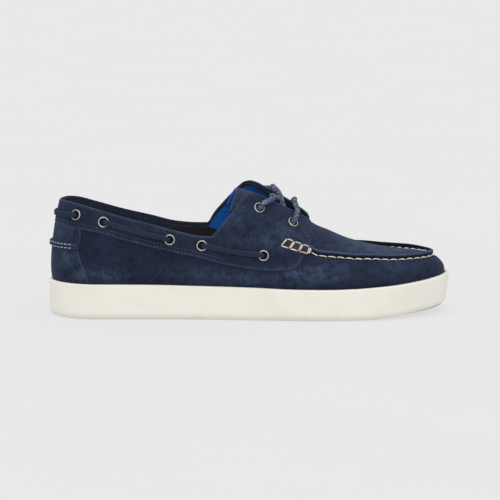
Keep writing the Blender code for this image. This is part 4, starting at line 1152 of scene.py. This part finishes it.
def build_saddle():
    """Collar band and both eyestay flaps: one overlay around the heel, with rounded cut edges."""
    w = end_dense(ring_stations(-THROAT_W, THROAT_W))
    low, high = t_on_line(w, saddle_low_line), t_on_line(w, topline)
    shares = dense_ends(54)
    t = low[:, None] + (high - low)[:, None] * shares
    outside = GAP + SADDLE_THICKNESS
    base, _ = skin(w[:, None], t, outside)
    marks = [line_marks(w, low, outside), line_marks(w, high, outside)]
    for end in (0, -1):
        marks.append(line_marks(np.full_like(shares, w[end]), t[end], outside))
    edge = edge_distance(base, marks)
    lift = box_pillow(base)
    outer, normal = skin(w[:, None], t, GAP + SADDLE_THICKNESS * rounded_edge(edge) + lift)
    sheets = Sheets("edge", "scuff")
    sheets.grid(outer, keep=clear_of_eyelets(base, SADDLE_HOLE), edge=edge, scuff=scuffed(outer))
    obj = sheets.object("saddle_suede", SADDLE_SUEDE)
    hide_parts("saddle")


def box_corner(share, upper_edge):
    (x0, z0), (x1, z1) = BOX_HIGH if upper_edge else BOX_LOW
    return x0 + (x1 - x0) * share, z0 + (z1 - z0) * share


def box_pillow(points):
    """How far the leather between the ladder's threads puffs out."""
    x, z = points[..., 0] + SOLE_LENGTH / 2, points[..., 2]
    start = (np.array(box_corner(0, False)) + box_corner(0, True)) / 2
    stop = (np.array(box_corner(1, False)) + box_corner(1, True)) / 2
    way = stop - start
    length = np.linalg.norm(way)
    part = ((x - start[0]) * way[0] + (z - start[1]) * way[1]) / length**2
    aside = ((z - start[1]) * way[0] - (x - start[0]) * way[1]) / length
    across = np.clip(1 - (aside / PILLOW_HALF) ** 2, 0, 1)
    puffs = 0.35 + 0.65 * np.abs(np.sin(part * BOX_COUNT * math.pi)) ** 0.6
    tall = PILLOW_HEIGHT + PILLOW_GAIN * np.clip(part, 0, 1) ** 3
    return tall * across * puffs * eased(-0.08, 0.06, part) * (part < 1.25)


def heel_overlay(node, lines, reach, inside, thickness, rows, spacing=STEP):
    """Overlay wrapped around the heel between two lines, ending at the stations that reach gives each row."""
    shares = dense_ends(rows)
    even = np.linspace(-1, 1, int(HEEL_WRAP / spacing) + 1)
    sweep = 0.5 * np.sin(even * math.pi / 2) + 0.5 * even
    x = np.array([reach(lines(share)) for share in shares])
    z = np.array([float(lines(share)(x[k : k + 1])[0]) for k, share in enumerate(shares)])
    ends = [np.abs(find_on_side(side, x, z)[0]) for side in SIDES]
    w = np.where(sweep[:, None] < 0, *(sweep[:, None] * end for end in ends))
    t = np.stack([t_on_line(w[:, k], lines(share)) for k, share in enumerate(shares)], axis=1)
    outside = inside + thickness
    base, _ = skin(w, t, outside)
    marks = [line_marks(w[:, k], t[:, k], outside) for k in (0, -1)]
    marks += [line_marks(w[k], t[k], outside) for k in (0, -1)]
    edge = edge_distance(base, marks)
    outer, _ = skin(w, t, inside + thickness * rounded_edge(edge))
    sheets = Sheets("edge", "scuff")
    sheets.grid(outer, edge=edge, scuff=scuffed(outer))
    obj = sheets.object(f"{node}_suede", COUNTER_SUEDE)
    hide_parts(node)
    return obj, w, t


def build_counter():
    """Heel counter between the sole's rim and the saddle's lower edge."""
    margin = 2 * GAP

    def lines(share):
        def height(x, w=0.0):
            foot = rim_height(station_at(np.maximum(0.0, x))) + margin
            return foot + share * (saddle_low_line(x) + 0.0003 - foot)

        return height

    def reach(line):
        x = COUNTER_FRONT[0].x * SOLE_LENGTH
        for _ in range(8):
            x = float(smooth(COUNTER_FRONT, "x", line(np.array([x])) / COLLAR_HEIGHT)[0]) * SOLE_LENGTH
        return x

    obj, w, t = heel_overlay("heel_counter", lines, reach, 0.0, GAP + COUNTER_THICKNESS, 40)
    return w, t


def build_tab():
    """Narrow raised tab sewn across the heel."""

    def lines(share):
        return lambda x, w=0.0: np.full_like(x, (TAB_LOW + share * (TAB_HIGH - TAB_LOW)) * COLLAR_HEIGHT)

    def reach(line):
        z = line(np.zeros(1))[0] / COLLAR_HEIGHT
        middle = (TAB_LOW + TAB_HIGH) / 2
        round_off = 1 - math.sqrt(max(0.0, 1 - (abs(z - middle) / (TAB_HIGH - TAB_LOW) * 2) ** 2))
        return TAB_REACH * SOLE_LENGTH + 0.0010 - 0.0020 * round_off

    seat = GAP + COUNTER_THICKNESS
    obj, w, t = heel_overlay("heel_tab", lines, reach, seat, GAP + TAB_THICKNESS, 14, 0.0009)
    return w, t


def tongue_point(x, v):
    """Points of the tongue's outer face: x from the heel, v from -1 at the lateral edge to 1 at the other."""
    crown = between_toe_and_flaps(smooth(TONGUE_CROWN, "height", x / SOLE_LENGTH))
    shift = smooth(RIDGE_LINE, "shift", x / SOLE_LENGTH) * BALL_WIDTH
    back = (TONGUE_FRONT - x / SOLE_LENGTH) / (TONGUE_FRONT - TONGUE_REAR)
    width = TONGUE_HALF * BALL_WIDTH * (0.74 + 0.26 * back)
    sag = TONGUE_SAG * FLAP_HEIGHT * (0.80 + 0.20 * back)
    rear = -TONGUE_CORNER * SOLE_LENGTH * v * v * back
    return vec(x + rear - SOLE_LENGTH / 2, shift + width * v, crown - sag * v * v)


def build_tongue():
    """Tongue under the flaps, suede outside and blue lining inside, its edge rolled."""
    x = np.linspace(TONGUE_REAR, TONGUE_FRONT, 60)[:, None] * SOLE_LENGTH
    v = np.sin(np.linspace(-1, 1, 61) * math.pi / 2)[None, :]
    x, v = np.broadcast_arrays(x, v)
    outer = tongue_point(x, v)
    run = tongue_point(x + 0.001, v) - tongue_point(x - 0.001, v)
    cross = tongue_point(x, v + 0.02) - tongue_point(x, v - 0.02)
    out = unit(np.cross(run, cross))
    edge = np.minimum((1 - np.abs(v)) * TONGUE_HALF * BALL_WIDTH, x - TONGUE_REAR * SOLE_LENGTH)
    ease = rounded_edge(edge, 0.0012)
    outer_face = outer - out * (TONGUE_THICKNESS / 2 * (1 - ease))[..., None]
    inner_face = outer - out * (TONGUE_THICKNESS / 2 * (1 + ease))[..., None]
    sheets = Sheets("edge", "scuff")
    sheets.grid(outer_face, flip=True, edge=edge, scuff=0.25)
    sheets.grid(inner_face, slot=1, edge=edge)
    obj = sheets.object("tongue_suede_sheet", TONGUE_SUEDE, BLUE_LINING)
    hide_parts("tongue")


def across(w, inset, share, z):
    """Points between the two sides' inset outlines, share 1 at this side's and 0 in the middle."""
    here, there = inset_edge(w, inset), inset_edge(-w, inset)
    middle = (here + there) / 2
    point = middle + (here - middle) * np.asarray(share, float)[..., None]
    point[..., 2] = z
    return point


def build_cupsole():
    """One rubber cup: tread, rounded lower edge, side wall, rounded rim and the cavity's wall."""
    sheets = Sheets("grime")
    w = all_stations()
    share = share_of(w)
    ground, rim, floor = ground_lift(w), rim_height(w), cup_floor(w)
    waist = WAIST_RECESS * eased(0.28, 0.33, share) * (1 - eased(0.52, 0.57, share))
    lean = TOE_WALL_LEAN * eased(0.80, 1.0, share)
    radius = SOLE_EDGE_RADIUS
    under = []
    for part in np.linspace(0, 1, 24):
        rise = waist * (1 - eased(0.74, 0.80, part))
        under.append(across(w, radius, np.full_like(w, part), ground + rise))
    sheets.grid(np.stack(under, axis=1), slot=1, grime=0.5)
    wall = []
    for angle in np.linspace(0, math.pi / 2, 10):
        inset = lean + radius * (1 - math.sin(angle))
        wall.append(inset_edge(w, inset, ground + radius * (1 - math.cos(angle))))
    top = rim - SOLE_RIM_ROUND
    for part in np.linspace(0, 1, 14)[1:]:
        wall.append(inset_edge(w, lean * (1 - part), ground + radius + part * (top - ground - radius)))
    for angle in np.linspace(0, math.pi / 2, 7)[1:]:
        inset = np.full_like(w, SOLE_RIM_ROUND * (1 - math.cos(angle)))
        wall.append(inset_edge(w, inset, top + SOLE_RIM_ROUND * math.sin(angle)))
    wall += [inset_edge(w, np.full_like(w, FOXING_WALL), z) for z in (rim, rim - 0.004, floor)]
    wall = np.stack(wall, axis=1)
    rows = np.arange(wall.shape[1])
    # Dirt on the lowest rows; painted shade on the rows round the rim's top, where the upper meets the sole
    grime = np.exp(-rows / 4.0) * 0.9 + np.exp(-np.abs(rows - 28) / 1.5) * 0.8
    sheets.grid(wall, grime=np.broadcast_to(grime, wall.shape[:2]))
    inside = [across(w, FOXING_WALL, np.full_like(w, part), floor) for part in (1.0, 0.5, 0.0)]
    sheets.grid(np.stack(inside, axis=1))
    obj = sheets.object("cupsole_rubber", SOLE_RUBBER, TREAD_RUBBER)
    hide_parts("cupsole")


def build_insole():
    """Cloth-covered insole inside the upper, its edge rolled, its middle a little hollow."""
    sheets = Sheets("edge")
    w = all_stations(INSOLE_STEP)
    inset = FOXING_WALL + GAP + UPPER_WALL + GAP
    low = cup_floor(w) + GAP
    rows = [across(w, inset, np.ones_like(w), low)]
    for angle in np.linspace(0, math.pi / 2, 6):
        high = low + INSOLE_THICKNESS - INSOLE_ROUND * (1 - math.sin(angle))
        rows.append(across(w, inset + INSOLE_ROUND * (1 - math.cos(angle)), np.ones_like(w), high))
    for share in np.linspace(1, 0, 12)[1:]:
        hollow = 0.0008 * (1 - share**4)
        high = low + INSOLE_THICKNESS - hollow
        rows.append(across(w, inset + INSOLE_ROUND, np.full_like(w, share), high))
    sheets.grid(np.stack(rows, axis=1), edge=1.0)
    obj = sheets.object("insole_footbed", FOOTBED)
    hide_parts("insole")


def turned(profile, seat, way):
    """A profile turned about the way out of a seat: rows of distance from that line and height along it."""
    turns = np.linspace(0, 2 * math.pi, 41)
    first = unit(np.cross(way, [0.0, 0.0, 1.0]))
    second = np.cross(way, first)
    ring = np.cos(turns)[:, None] * first + np.sin(turns)[:, None] * second
    rows = np.array(profile)
    return seat + ring[:, None] * rows[None, :, :1] + way * rows[None, :, 1:]


def build_eyelets():
    """Rolled rings, each turned about its own axis, with a barrel that goes in to a hole, its near-black
    bottom painted shade.
    """
    middle, wire = (EYELET_BORE + EYELET_RADIUS) / 2, (EYELET_RADIUS - EYELET_BORE) / 2
    profile = [(EYELET_RADIUS, -0.0003)]
    for angle in np.linspace(0.05 * math.pi, math.pi, 10):
        profile.append((middle + wire * math.cos(angle), GAP * 0.4 + EYELET_DOME * math.sin(angle)))
    profile.append((EYELET_BORE, -EYELET_DEPTH))
    # The hole's bottom: a near-black disc of painted shade
    hole = [(EYELET_BORE, -EYELET_DEPTH), (EYELET_BORE, -HOLE_DEPTH), (0.0, -HOLE_DEPTH)]
    for side in SIDES:
        for eyelet in EYELETS:
            seat, way = SEATS[eyelet.name, side]
            sheets = Sheets("edge")
            sheets.grid(turned(profile, seat, way), flip=True)
            if not eyelet.through:
                sheets.grid(turned(hole, seat, way), slot=1, flip=True)
            node = f"eyelet_{SIDE_NAMES[side]}_{eyelet.name}"
            obj = sheets.object(f"{node}_ring", EYELET_METAL, HOLE_PAINTED_SHADE)
            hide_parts(node)


def spline_path(points, spacing):
    """Evenly spaced points on a smooth curve through the given ones."""
    points = np.asarray(points, float)
    ends = np.concatenate([[2 * points[0] - points[1]], points, [2 * points[-1] - points[-2]]])
    s = (np.arange(16) / 16)[:, None]
    dense = []
    for before, a, b, after in zip(ends, ends[1:], ends[2:], ends[3:]):
        dense.append(
            a
            + (b - before) * (s / 2)
            + (2 * before - 5 * a + 4 * b - after) * (s * s / 2)
            + (3 * a - before - 3 * b + after) * (s**3 / 2)
        )
    dense = np.concatenate(dense + [points[-1:]])
    lengths = lengths_along(dense)
    even = np.linspace(0, lengths[-1], max(3, int(lengths[-1] / spacing)))
    return read_at(even, lengths, dense)


def section_rings(path, wide, half_width, half_thickness, sides, power=1.0):
    """Rings of a superelliptic section along a path. wide gives, at each point, the way its width lies."""
    way = unit(np.gradient(path, axis=0))
    wide = unit(wide - way * np.sum(wide * way, axis=-1, keepdims=True))
    thick = np.cross(way, wide)
    angle = np.linspace(0, 2 * math.pi, sides + 1)
    a = np.sign(np.cos(angle)) * np.abs(np.cos(angle)) ** power
    b = np.sign(np.sin(angle)) * np.abs(np.sin(angle)) ** power
    half_width = np.broadcast_to(half_width, len(path))[:, None, None]
    half_thickness = np.broadcast_to(half_thickness, len(path))[:, None, None]
    rings = path[:, None] + wide[:, None] * a[None, :, None] * half_width
    return rings + thick[:, None] * b[None, :, None] * half_thickness, np.abs(a)


def strap_end(seat, way, towards):
    """Path of a flat lace out of an eyelet and over the ring towards its neighbour."""
    on = unit(towards - way * way.dot(towards))
    half = SIDE_LACE_THICKNESS / 2
    over = GAP + EYELET_DOME + half
    return [
        seat - way * 0.0026,
        seat - way * 0.0006 + on * 0.0002,
        seat + way * 0.6 * over + on * 0.0009,
        seat + way * over + on * 0.0024,
        seat + way * over + on * (EYELET_RADIUS + 0.0004),
        seat + way * (half + GAP) + on * (EYELET_RADIUS + 0.0024),
    ]


def build_side_lace(name, path, wide):
    """One run of the flat lace along a path, narrower where it goes into an eyelet."""
    path = spline_path(path, FLAT_LACE_STEP)
    share = np.linspace(0, 1, len(path))
    known = np.linspace(0, 1, len(wide))
    wide = read_at(share, known, wide)
    ends = np.minimum(1.0, 0.72 + 0.28 * np.minimum(share, 1 - share) * len(path) / 10)
    rings, edge = section_rings(path, wide, SIDE_LACE_WIDTH / 2 * ends, SIDE_LACE_THICKNESS / 2, 24, 0.6)
    sheets = Sheets("edge")
    sheets.grid(rings, edge=np.broadcast_to(edge, rings.shape[:2]))
    obj = sheets.object(f"{name}_leather", LACE_LEATHER)
    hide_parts(name)


def build_side_laces():
    """Visible runs of the flat lace: two on each side and one around the heel."""
    lift = GAP + SADDLE_THICKNESS + 0.6 * GAP + SIDE_LACE_THICKNESS / 2
    for side in SIDES:
        for part, first, last in (("rear", 1, 2), ("front", 3, 4)):
            a, way_a = SEATS[EYELETS[first].name, side]
            b, way_b = SEATS[EYELETS[last].name, side]
            trim = (EYELET_RADIUS + 0.0042) / np.linalg.norm(b - a)
            share = np.linspace(trim, 1 - trim, 12)
            line = a + (b - a) * share[:, None]
            hanging = line[:, 2] - 0.0009 * np.sin(share * math.pi)
            w, t = find_on_side(side, line[:, 0] + SOLE_LENGTH / 2, hanging)
            middle, normal = skin(w, t, lift)
            path = strap_end(a, way_a, b - a) + list(middle) + strap_end(b, way_b, a - b)[::-1]
            normals = [way_a] * 6 + list(normal) + [way_b] * 6
            wide = np.cross(np.array(normals), unit(b - a))
            build_side_lace(f"side_lace_{SIDE_NAMES[side]}_{part}", path, wide)
    path, wide = [], []
    for side in SIDES:
        seat, way = SEATS["heel", side]
        w0, t0 = eyelet_place(EYELETS[0], side)
        z = float(last_point(np.array(w0), np.array(t0))[2])
        share = np.linspace(0.22, 1.0, 14)
        w = w0 * (1 - share)
        t = t_on_line(w, lambda _x, _w: z)
        around, normal = skin(w, t, lift)
        around[:, 2] -= 0.0010 * np.sin(share * math.pi / 2)
        back = around[0] - seat
        points = strap_end(seat, way, back) + list(around[:-1] if side == MEDIAL else around)
        ups = [unit(np.cross(way, unit(back)))] * 6 + [np.array([0.0, 0.0, 1.0])] * (len(points) - 6)
        ups = [up if up[2] > 0 else -up for up in ups]
        path += points[::-1] if side == MEDIAL else points
        wide += ups[::-1] if side == MEDIAL else ups
    build_side_lace("side_lace_heel", path, np.array(wide))


def flap_edge(side, x):
    """A flap's edge at x from the heel: its outer corner, the way out of it, and the way on past it."""
    w = side * station_at(np.array([x]))
    t = t_on_line(w, topline)
    point, normal = skin(w, t, GAP + SADDLE_THICKNESS)
    past = unit(last_point(w, t + 0.01) - last_point(w, t - 0.01))
    return point[0], normal[0], past[0]


def lace_out(eyelet, side, over_x):
    """Route of the throat lace from inside an eyelet, out and over the flap's edge at over_x."""
    seat, way = SEATS[eyelet.name, side]
    corner, out, past = flap_edge(side, over_x)
    on = unit(corner - seat - way * way.dot(corner - seat))
    clear = GAP + EYELET_DOME + LACE_RADIUS
    over = LACE_RADIUS + 2 * GAP
    inside = SADDLE_THICKNESS + GAP + UPPER_WALL + LACE_RADIUS + 2 * GAP
    return [
        seat - way * inside,
        seat - way * 0.4 * inside,
        seat + way * 0.5 * clear + on * 0.2 * EYELET_BORE,
        seat + way * 1.1 * clear + on * 0.9 * EYELET_BORE,
        seat + way * clear + on * 1.3 * EYELET_RADIUS,
        corner + out * over - past * over,
        corner + unit(out + past) * over,
    ]


def lace_under(eyelet, side, under_x):
    """Route of the throat lace from inside an eyelet, under the flap and out past its edge at under_x."""
    w0, t0 = eyelet_place(eyelet, side)
    w1 = float(side * station_at(under_x))
    t1 = float(t_on_line(np.array([w1]), topline)[0])
    below = UPPER_WALL + LACE_RADIUS + 3 * GAP
    share = np.array([0.25, 0.6, 1.0])
    points, _ = skin(w0 + (w1 - w0) * share, t0 + (t1 - t0) * share, -below)
    _, _, past = flap_edge(side, under_x)
    return list(points) + [points[-1] + past * 2 * LACE_RADIUS]


def throat_point(x, across_, height):
    """Point between the flaps: shares of the sole's length, of the ball width and of the flaps' height."""
    return np.array([(x - 0.5) * SOLE_LENGTH, across_ * BALL_WIDTH, height * FLAP_HEIGHT])


def build_throat_lace():
    """Rope of three twisted strands: a bar over both flaps in front, and two strands that cross behind it."""
    rear, front = EYELETS[5], EYELETS[6]
    over_rear, over_rear_medial, over_front, under = (0.543, 0.553, 0.607, 0.592)
    route = lace_out(rear, LATERAL, over_rear * SOLE_LENGTH)
    route += [throat_point(0.5730, 0.000, 0.888)]
    route += lace_under(front, MEDIAL, under * SOLE_LENGTH)[::-1]
    route += lace_out(front, MEDIAL, over_front * SOLE_LENGTH)
    route += [throat_point(0.6110, 0.020, 0.880)]
    route += lace_out(front, LATERAL, over_front * SOLE_LENGTH)[::-1]
    route += lace_under(front, LATERAL, under * SOLE_LENGTH)
    route += [throat_point(0.5740, 0.000, 0.934)]
    route += lace_out(rear, MEDIAL, over_rear_medial * SOLE_LENGTH)[::-1]
    path = spline_path(route, ROPE_STEP)
    way = unit(np.gradient(path, axis=0))
    side_way = [unit(np.cross(way[0], [0.0, 0.0, 1.0]))]
    for here in way[1:]:
        carried = side_way[-1] - here * here.dot(side_way[-1])
        side_way.append(unit(carried))
    side_way = np.array(side_way)
    up_way = np.cross(way, side_way)
    turn = np.arange(len(path)) * ROPE_STEP / STRAND_PITCH * 2 * math.pi
    sheets = Sheets("edge")
    thick = LACE_RADIUS * STRAND_RADIUS
    for k in range(STRANDS):
        angle = (turn + 2 * math.pi * k / STRANDS)[:, None]
        aside = side_way * np.cos(angle) + up_way * np.sin(angle)
        rings, _ = section_rings(path + aside * LACE_RADIUS * STRAND_OFFSET, side_way, thick, thick, 12)
        # Distance from the rope's middle line; where it is small, the cord's material paints shade between
        # the strands
        from_middle = np.linalg.norm(rings - path[:, None], axis=-1) / LACE_RADIUS
        sheets.grid(rings, edge=from_middle)
    obj = sheets.object("throat_rope", ROPE_CORD)
    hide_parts("lace")


class Seams:
    """Collects stitches of one thread into one mesh."""

    def __init__(self, name, material):
        self.name, self.material = name, material
        self.sheets = Sheets("edge")

    def dash(self, path, normal, radius, arch):
        """One stitch: a short thread that dives into the leather at both ends."""
        rings = len(path)
        share = np.linspace(0, 1, rings)
        rise = np.sin(share * math.pi) ** 0.5 * (radius * 0.75 + arch) - radius * 0.6
        thin = 0.45 + 0.55 * np.sin(share * math.pi) ** 0.4
        path = path + normal * rise[:, None]
        wide = np.cross(normal, unit(np.gradient(path, axis=0)))
        body, _ = section_rings(path, wide, radius * thin, radius * thin * 0.85, 6)
        self.sheets.grid(body)

    def row(self, starts, stops, normals, stitch):
        """Stitches along a line. Each leads from the line of starts to the line of stops."""
        length, pitch, radius, arch, first = stitch
        lengths = lengths_along(starts)
        for k in range(int((lengths[-1] - first - length) / pitch) + 1):
            at = first + k * pitch + np.linspace(0, length, 7)
            low, high, out = (read_at(at, lengths, line) for line in (starts, stops, normals))
            lead = np.linspace(0, 1, 7)[:, None]
            self.dash(low + (high - low) * lead, unit(out), radius, arch)

    def finish(self):
        return self.sheets.object(self.name, self.material)


def inset_line(w, t, distance, inwards):
    """The line moved sideways over the last by a distance, up the last for inwards 1 and down it for -1."""
    point, run, climb = last_frame(w, t)
    tangent = unit(np.gradient(point, axis=0))
    normal = unit(np.cross(climb, run))
    aside = unit(np.cross(normal, tangent))
    aside = aside * np.sign(np.sum(aside * climb, axis=-1, keepdims=True)) * inwards * distance
    a, b, c = (np.sum(p * q, axis=-1) for p, q in ((run, run), (run, climb), (climb, climb)))
    d, e = np.sum(run * aside, axis=-1), np.sum(climb * aside, axis=-1)
    bottom = a * c - b * b
    return w + (d * c - e * b) / bottom, t + (e * a - d * b) / bottom


def seam_line(w, t, inset, inwards, lift):
    """Points and normals of a seam at an inset from an edge."""
    w, t = inset_line(w, t, inset, inwards)
    return skin(w, t, lift)


def edge_seams():
    """Tone-on-tone rows along the cut edges of saddle and collar."""
    seams = Seams("edge_stitches", NAVY_THREAD)
    outside = GAP + SADDLE_THICKNESS
    w = ring_stations(-THROAT_W, THROAT_W, SEAM_STEP)[4:-4]
    low, high = t_on_line(w, saddle_low_line), t_on_line(w, topline)

    def low_row(inset, wanted):
        line, normal = seam_line(w, low, inset, 1, outside)
        chosen = ((high - low) * climb_speed(w, low) > 2 * inset) & wanted
        seams.row(line[chosen], line[chosen], normal[chosen], TONE_STITCH)

    low_row(LOW_ROW, True)
    for one_side in (w < 0, w >= 0):
        low_row(SECOND_ROW, one_side & (share_of(w) < SECOND_ROW_END))
    tall = (high - low) * climb_speed(w, high) > 0.006
    for inset, lift, facing in ((TOP_ROW, outside, 1), (LINING_ROW, -UPPER_WALL, -1)):
        line, normal = seam_line(w, high, inset, -1, lift)
        seams.row(line[tall], line[tall], facing * normal[tall], TONE_STITCH)
    return seams


def counter_seams(seams, w, t):
    """A row inside each front edge of the heel counter."""
    lift = GAP + COUNTER_THICKNESS
    for column, next_column in ((2, 8), (-3, -9)):
        points, normal = skin(w[column], t[column], lift)
        toward, _ = skin(w[next_column], t[next_column], lift)
        shift = unit(toward - points) * 0.0016
        line = points + shift
        seams.row(line[3:-3], line[3:-3], normal[3:-3], TONE_STITCH)
    return seams


def flap_seams(seams):
    """A double row that curves from the flap's rear edge, under the two throat eyelets, to its front edge."""
    for side in SIDES:
        for drop in (0.0, FLAP_SEAM_APART):
            line = spline_path([(x, z - drop, 0.0) for x, z in FLAP_SEAM], 0.0012)
            w, t = find_on_side(side, line[:, 0], line[:, 1])
            points, normal = skin(w, t, GAP + SADDLE_THICKNESS)
            seams.row(points, points, normal, TONE_STITCH)
    return seams


def moccasin_seams():
    """Hand stitches through the base of the lip, outside and inside it."""
    seams = Seams("moccasin_stitches", CREAM_THREAD)
    start = float(station_at(HAND_SEAM_START))
    for first, last in ((start, 1.0), (-start, -1.0)):
        w = np.linspace(first, last, 420)
        outer_low, normal = lip_point(w, -0.00160, 0.0002)
        outer_high, _ = lip_point(w, -0.00152, 0.0005)
        seams.row(outer_high, outer_low, normal, OUTER_HAND_STITCH)
        inner_low, normal = lip_point(w, 0.0031, 0.0)
        inner_high, _ = lip_point(w, 0.00165, 0.0006)
        seams.row(inner_low, inner_high, normal, INNER_HAND_STITCH)
    return seams


def ladder_seams(cream, straw):
    """The three stitched boxes over the saddle where the lip starts."""

    def thread(seams, side, start, stop):
        x, z = (np.linspace(start[k], stop[k], 9) for k in (0, 1))
        w, t = find_on_side(side, x, z)
        base, _ = skin(w, t, GAP + SADDLE_THICKNESS)
        points, normal = skin(w, t, GAP + SADDLE_THICKNESS + box_pillow(base))
        seams.dash(points, normal, LADDER_RADIUS, 0.0002)

    def corner(share, upper_edge, aside=0.0):
        x, z = box_corner(share, upper_edge)
        return x + aside, z

    def rung(seams, side, share, aside):
        thread(seams, side, corner(share, False, aside), corner(share, True, aside))

    for side in SIDES:
        for k in range(BOX_COUNT):
            low, high = (k + 0.10) / BOX_COUNT, (k + 0.90) / BOX_COUNT
            for upper_edge, seams in ((True, cream), (False, cream if k < 2 else straw)):
                thread(seams, side, corner(low, upper_edge), corner(high, upper_edge))
            rung(cream, side, k / BOX_COUNT, 0.0005)
            if k:
                rung(straw, side, k / BOX_COUNT, -0.0006)
        for aside in (-0.0007, 0.0005):
            rung(cream, side, 1.0, aside)


def tab_seams(w, t):
    """White rows along both long edges of the heel tab."""
    seams = Seams("heel_tab_stitches", WHITE_THREAD)
    lift = 2 * GAP + COUNTER_THICKNESS + TAB_THICKNESS
    points, normal = skin(w, t, lift)
    for near, far in ((0, -1), (-1, 0)):
        line = points[:, near] + unit(points[:, far] - points[:, near]) * 0.0008
        seams.row(line[6:-6], line[6:-6], normal[6:-6, near], TAB_STITCH)
    return seams


def sew():
    """All the stitching."""
    counter_w, counter_t = build_counter()
    tab_w, tab_t = build_tab()
    tone = flap_seams(counter_seams(edge_seams(), counter_w, counter_t))
    cream, straw = moccasin_seams(), Seams("ladder_straw_stitches", STRAW_THREAD)
    ladder_seams(cream, straw)
    for seams, slot in ((tone, "saddle_suede"), (cream, "off_white_rubber"), (straw, "off_white_rubber")):
        seams.finish()
    tab_seams(tab_w, tab_t).finish()


CAMERA_TARGET = (0.0, 0.0, 0.0466)
CAMERA_DISTANCE = 2.0
CAMERA_AZIMUTH = -3.0
CAMERA_ELEVATION = 8.0
CAMERA_LENS = 192.0
SKY = 0.86
FLOOR_PALE = (0.175, 0.175, 0.175)
FLOOR_PALER = (0.185, 0.185, 0.185)
FLOOR_GLOW = 0.599
FLOOR_SIZE = 40.0


def set_camera():
    """Main view: from the lateral side, a little above."""
    azimuth, elevation = math.radians(CAMERA_AZIMUTH), math.radians(CAMERA_ELEVATION)
    way = Vector(
        (
            math.sin(azimuth) * math.cos(elevation),
            -math.cos(azimuth) * math.cos(elevation),
            math.sin(elevation),
        )
    )
    camera = bpy.data.objects.new("camera", bpy.data.cameras.new("camera"))
    camera.location = Vector(CAMERA_TARGET) + way * CAMERA_DISTANCE
    camera.rotation_euler = way.to_track_quat("Z", "Y").to_euler()
    camera.data.lens = CAMERA_LENS
    camera.data.sensor_width = 36.0
    bpy.context.scene.collection.objects.link(camera)
    bpy.context.scene.camera = camera


def soft_light(name, way, spread, strength):
    """A far light so wide that its shadows stay soft: the way it comes from, its spread and its strength."""
    light = bpy.data.objects.new(name, bpy.data.lights.new(name, "SUN"))
    light.data.angle = math.radians(spread)
    light.data.energy = strength
    light.rotation_euler = Vector(way).to_track_quat("Z", "Y").to_euler()
    bpy.context.scene.collection.objects.link(light)


def set_studio():
    """Pale floor, an even pale sky and two large soft lights."""
    world = bpy.data.worlds.new("studio")
    world.use_nodes = True
    sky = world.node_tree.nodes["Background"]
    sky.inputs["Color"].default_value = (1.0, 1.0, 1.0, 1.0)
    sky.inputs["Strength"].default_value = SKY
    bpy.context.scene.world = world
    bpy.context.scene.view_settings.view_transform = "Standard"
    graph, wire = finish("pale_floor", depth=0.0001, strength=0.05, Specular_IOR_Level=0.0)
    tone = graph.noise(graph.place(), 6.0, 2.0)
    paper = wire(graph.mix(tone, FLOOR_PALE, FLOOR_PALER), 1.0, tone)
    shader = paper.node_tree.nodes["Principled BSDF"]
    shader.inputs["Emission Color"].default_value = (1.0, 1.0, 1.0, 1.0)
    shader.inputs["Emission Strength"].default_value = FLOOR_GLOW
    mesh = bpy.data.meshes.new("floor")
    half = FLOOR_SIZE / 2
    corners = [(-half, -half, 0.0), (half, -half, 0.0), (half, half, 0.0), (-half, half, 0.0)]
    mesh.from_pydata(corners, [], [(0, 1, 2, 3)])
    mesh.materials.append(paper)
    floor = bpy.data.objects.new("floor", mesh)
    bpy.context.scene.collection.objects.link(floor)
    soft_light("soft_top", (0.05, -0.25, 1.0), 70.0, 0.87)
    soft_light("soft_front", (-0.05, -1.0, 0.42), 50.0, 0.59)


set_camera()
set_studio()
build_upper()
build_saddle()
sew()
build_tongue()
build_cupsole()
build_insole()
build_eyelets()
build_side_laces()
build_throat_lace()
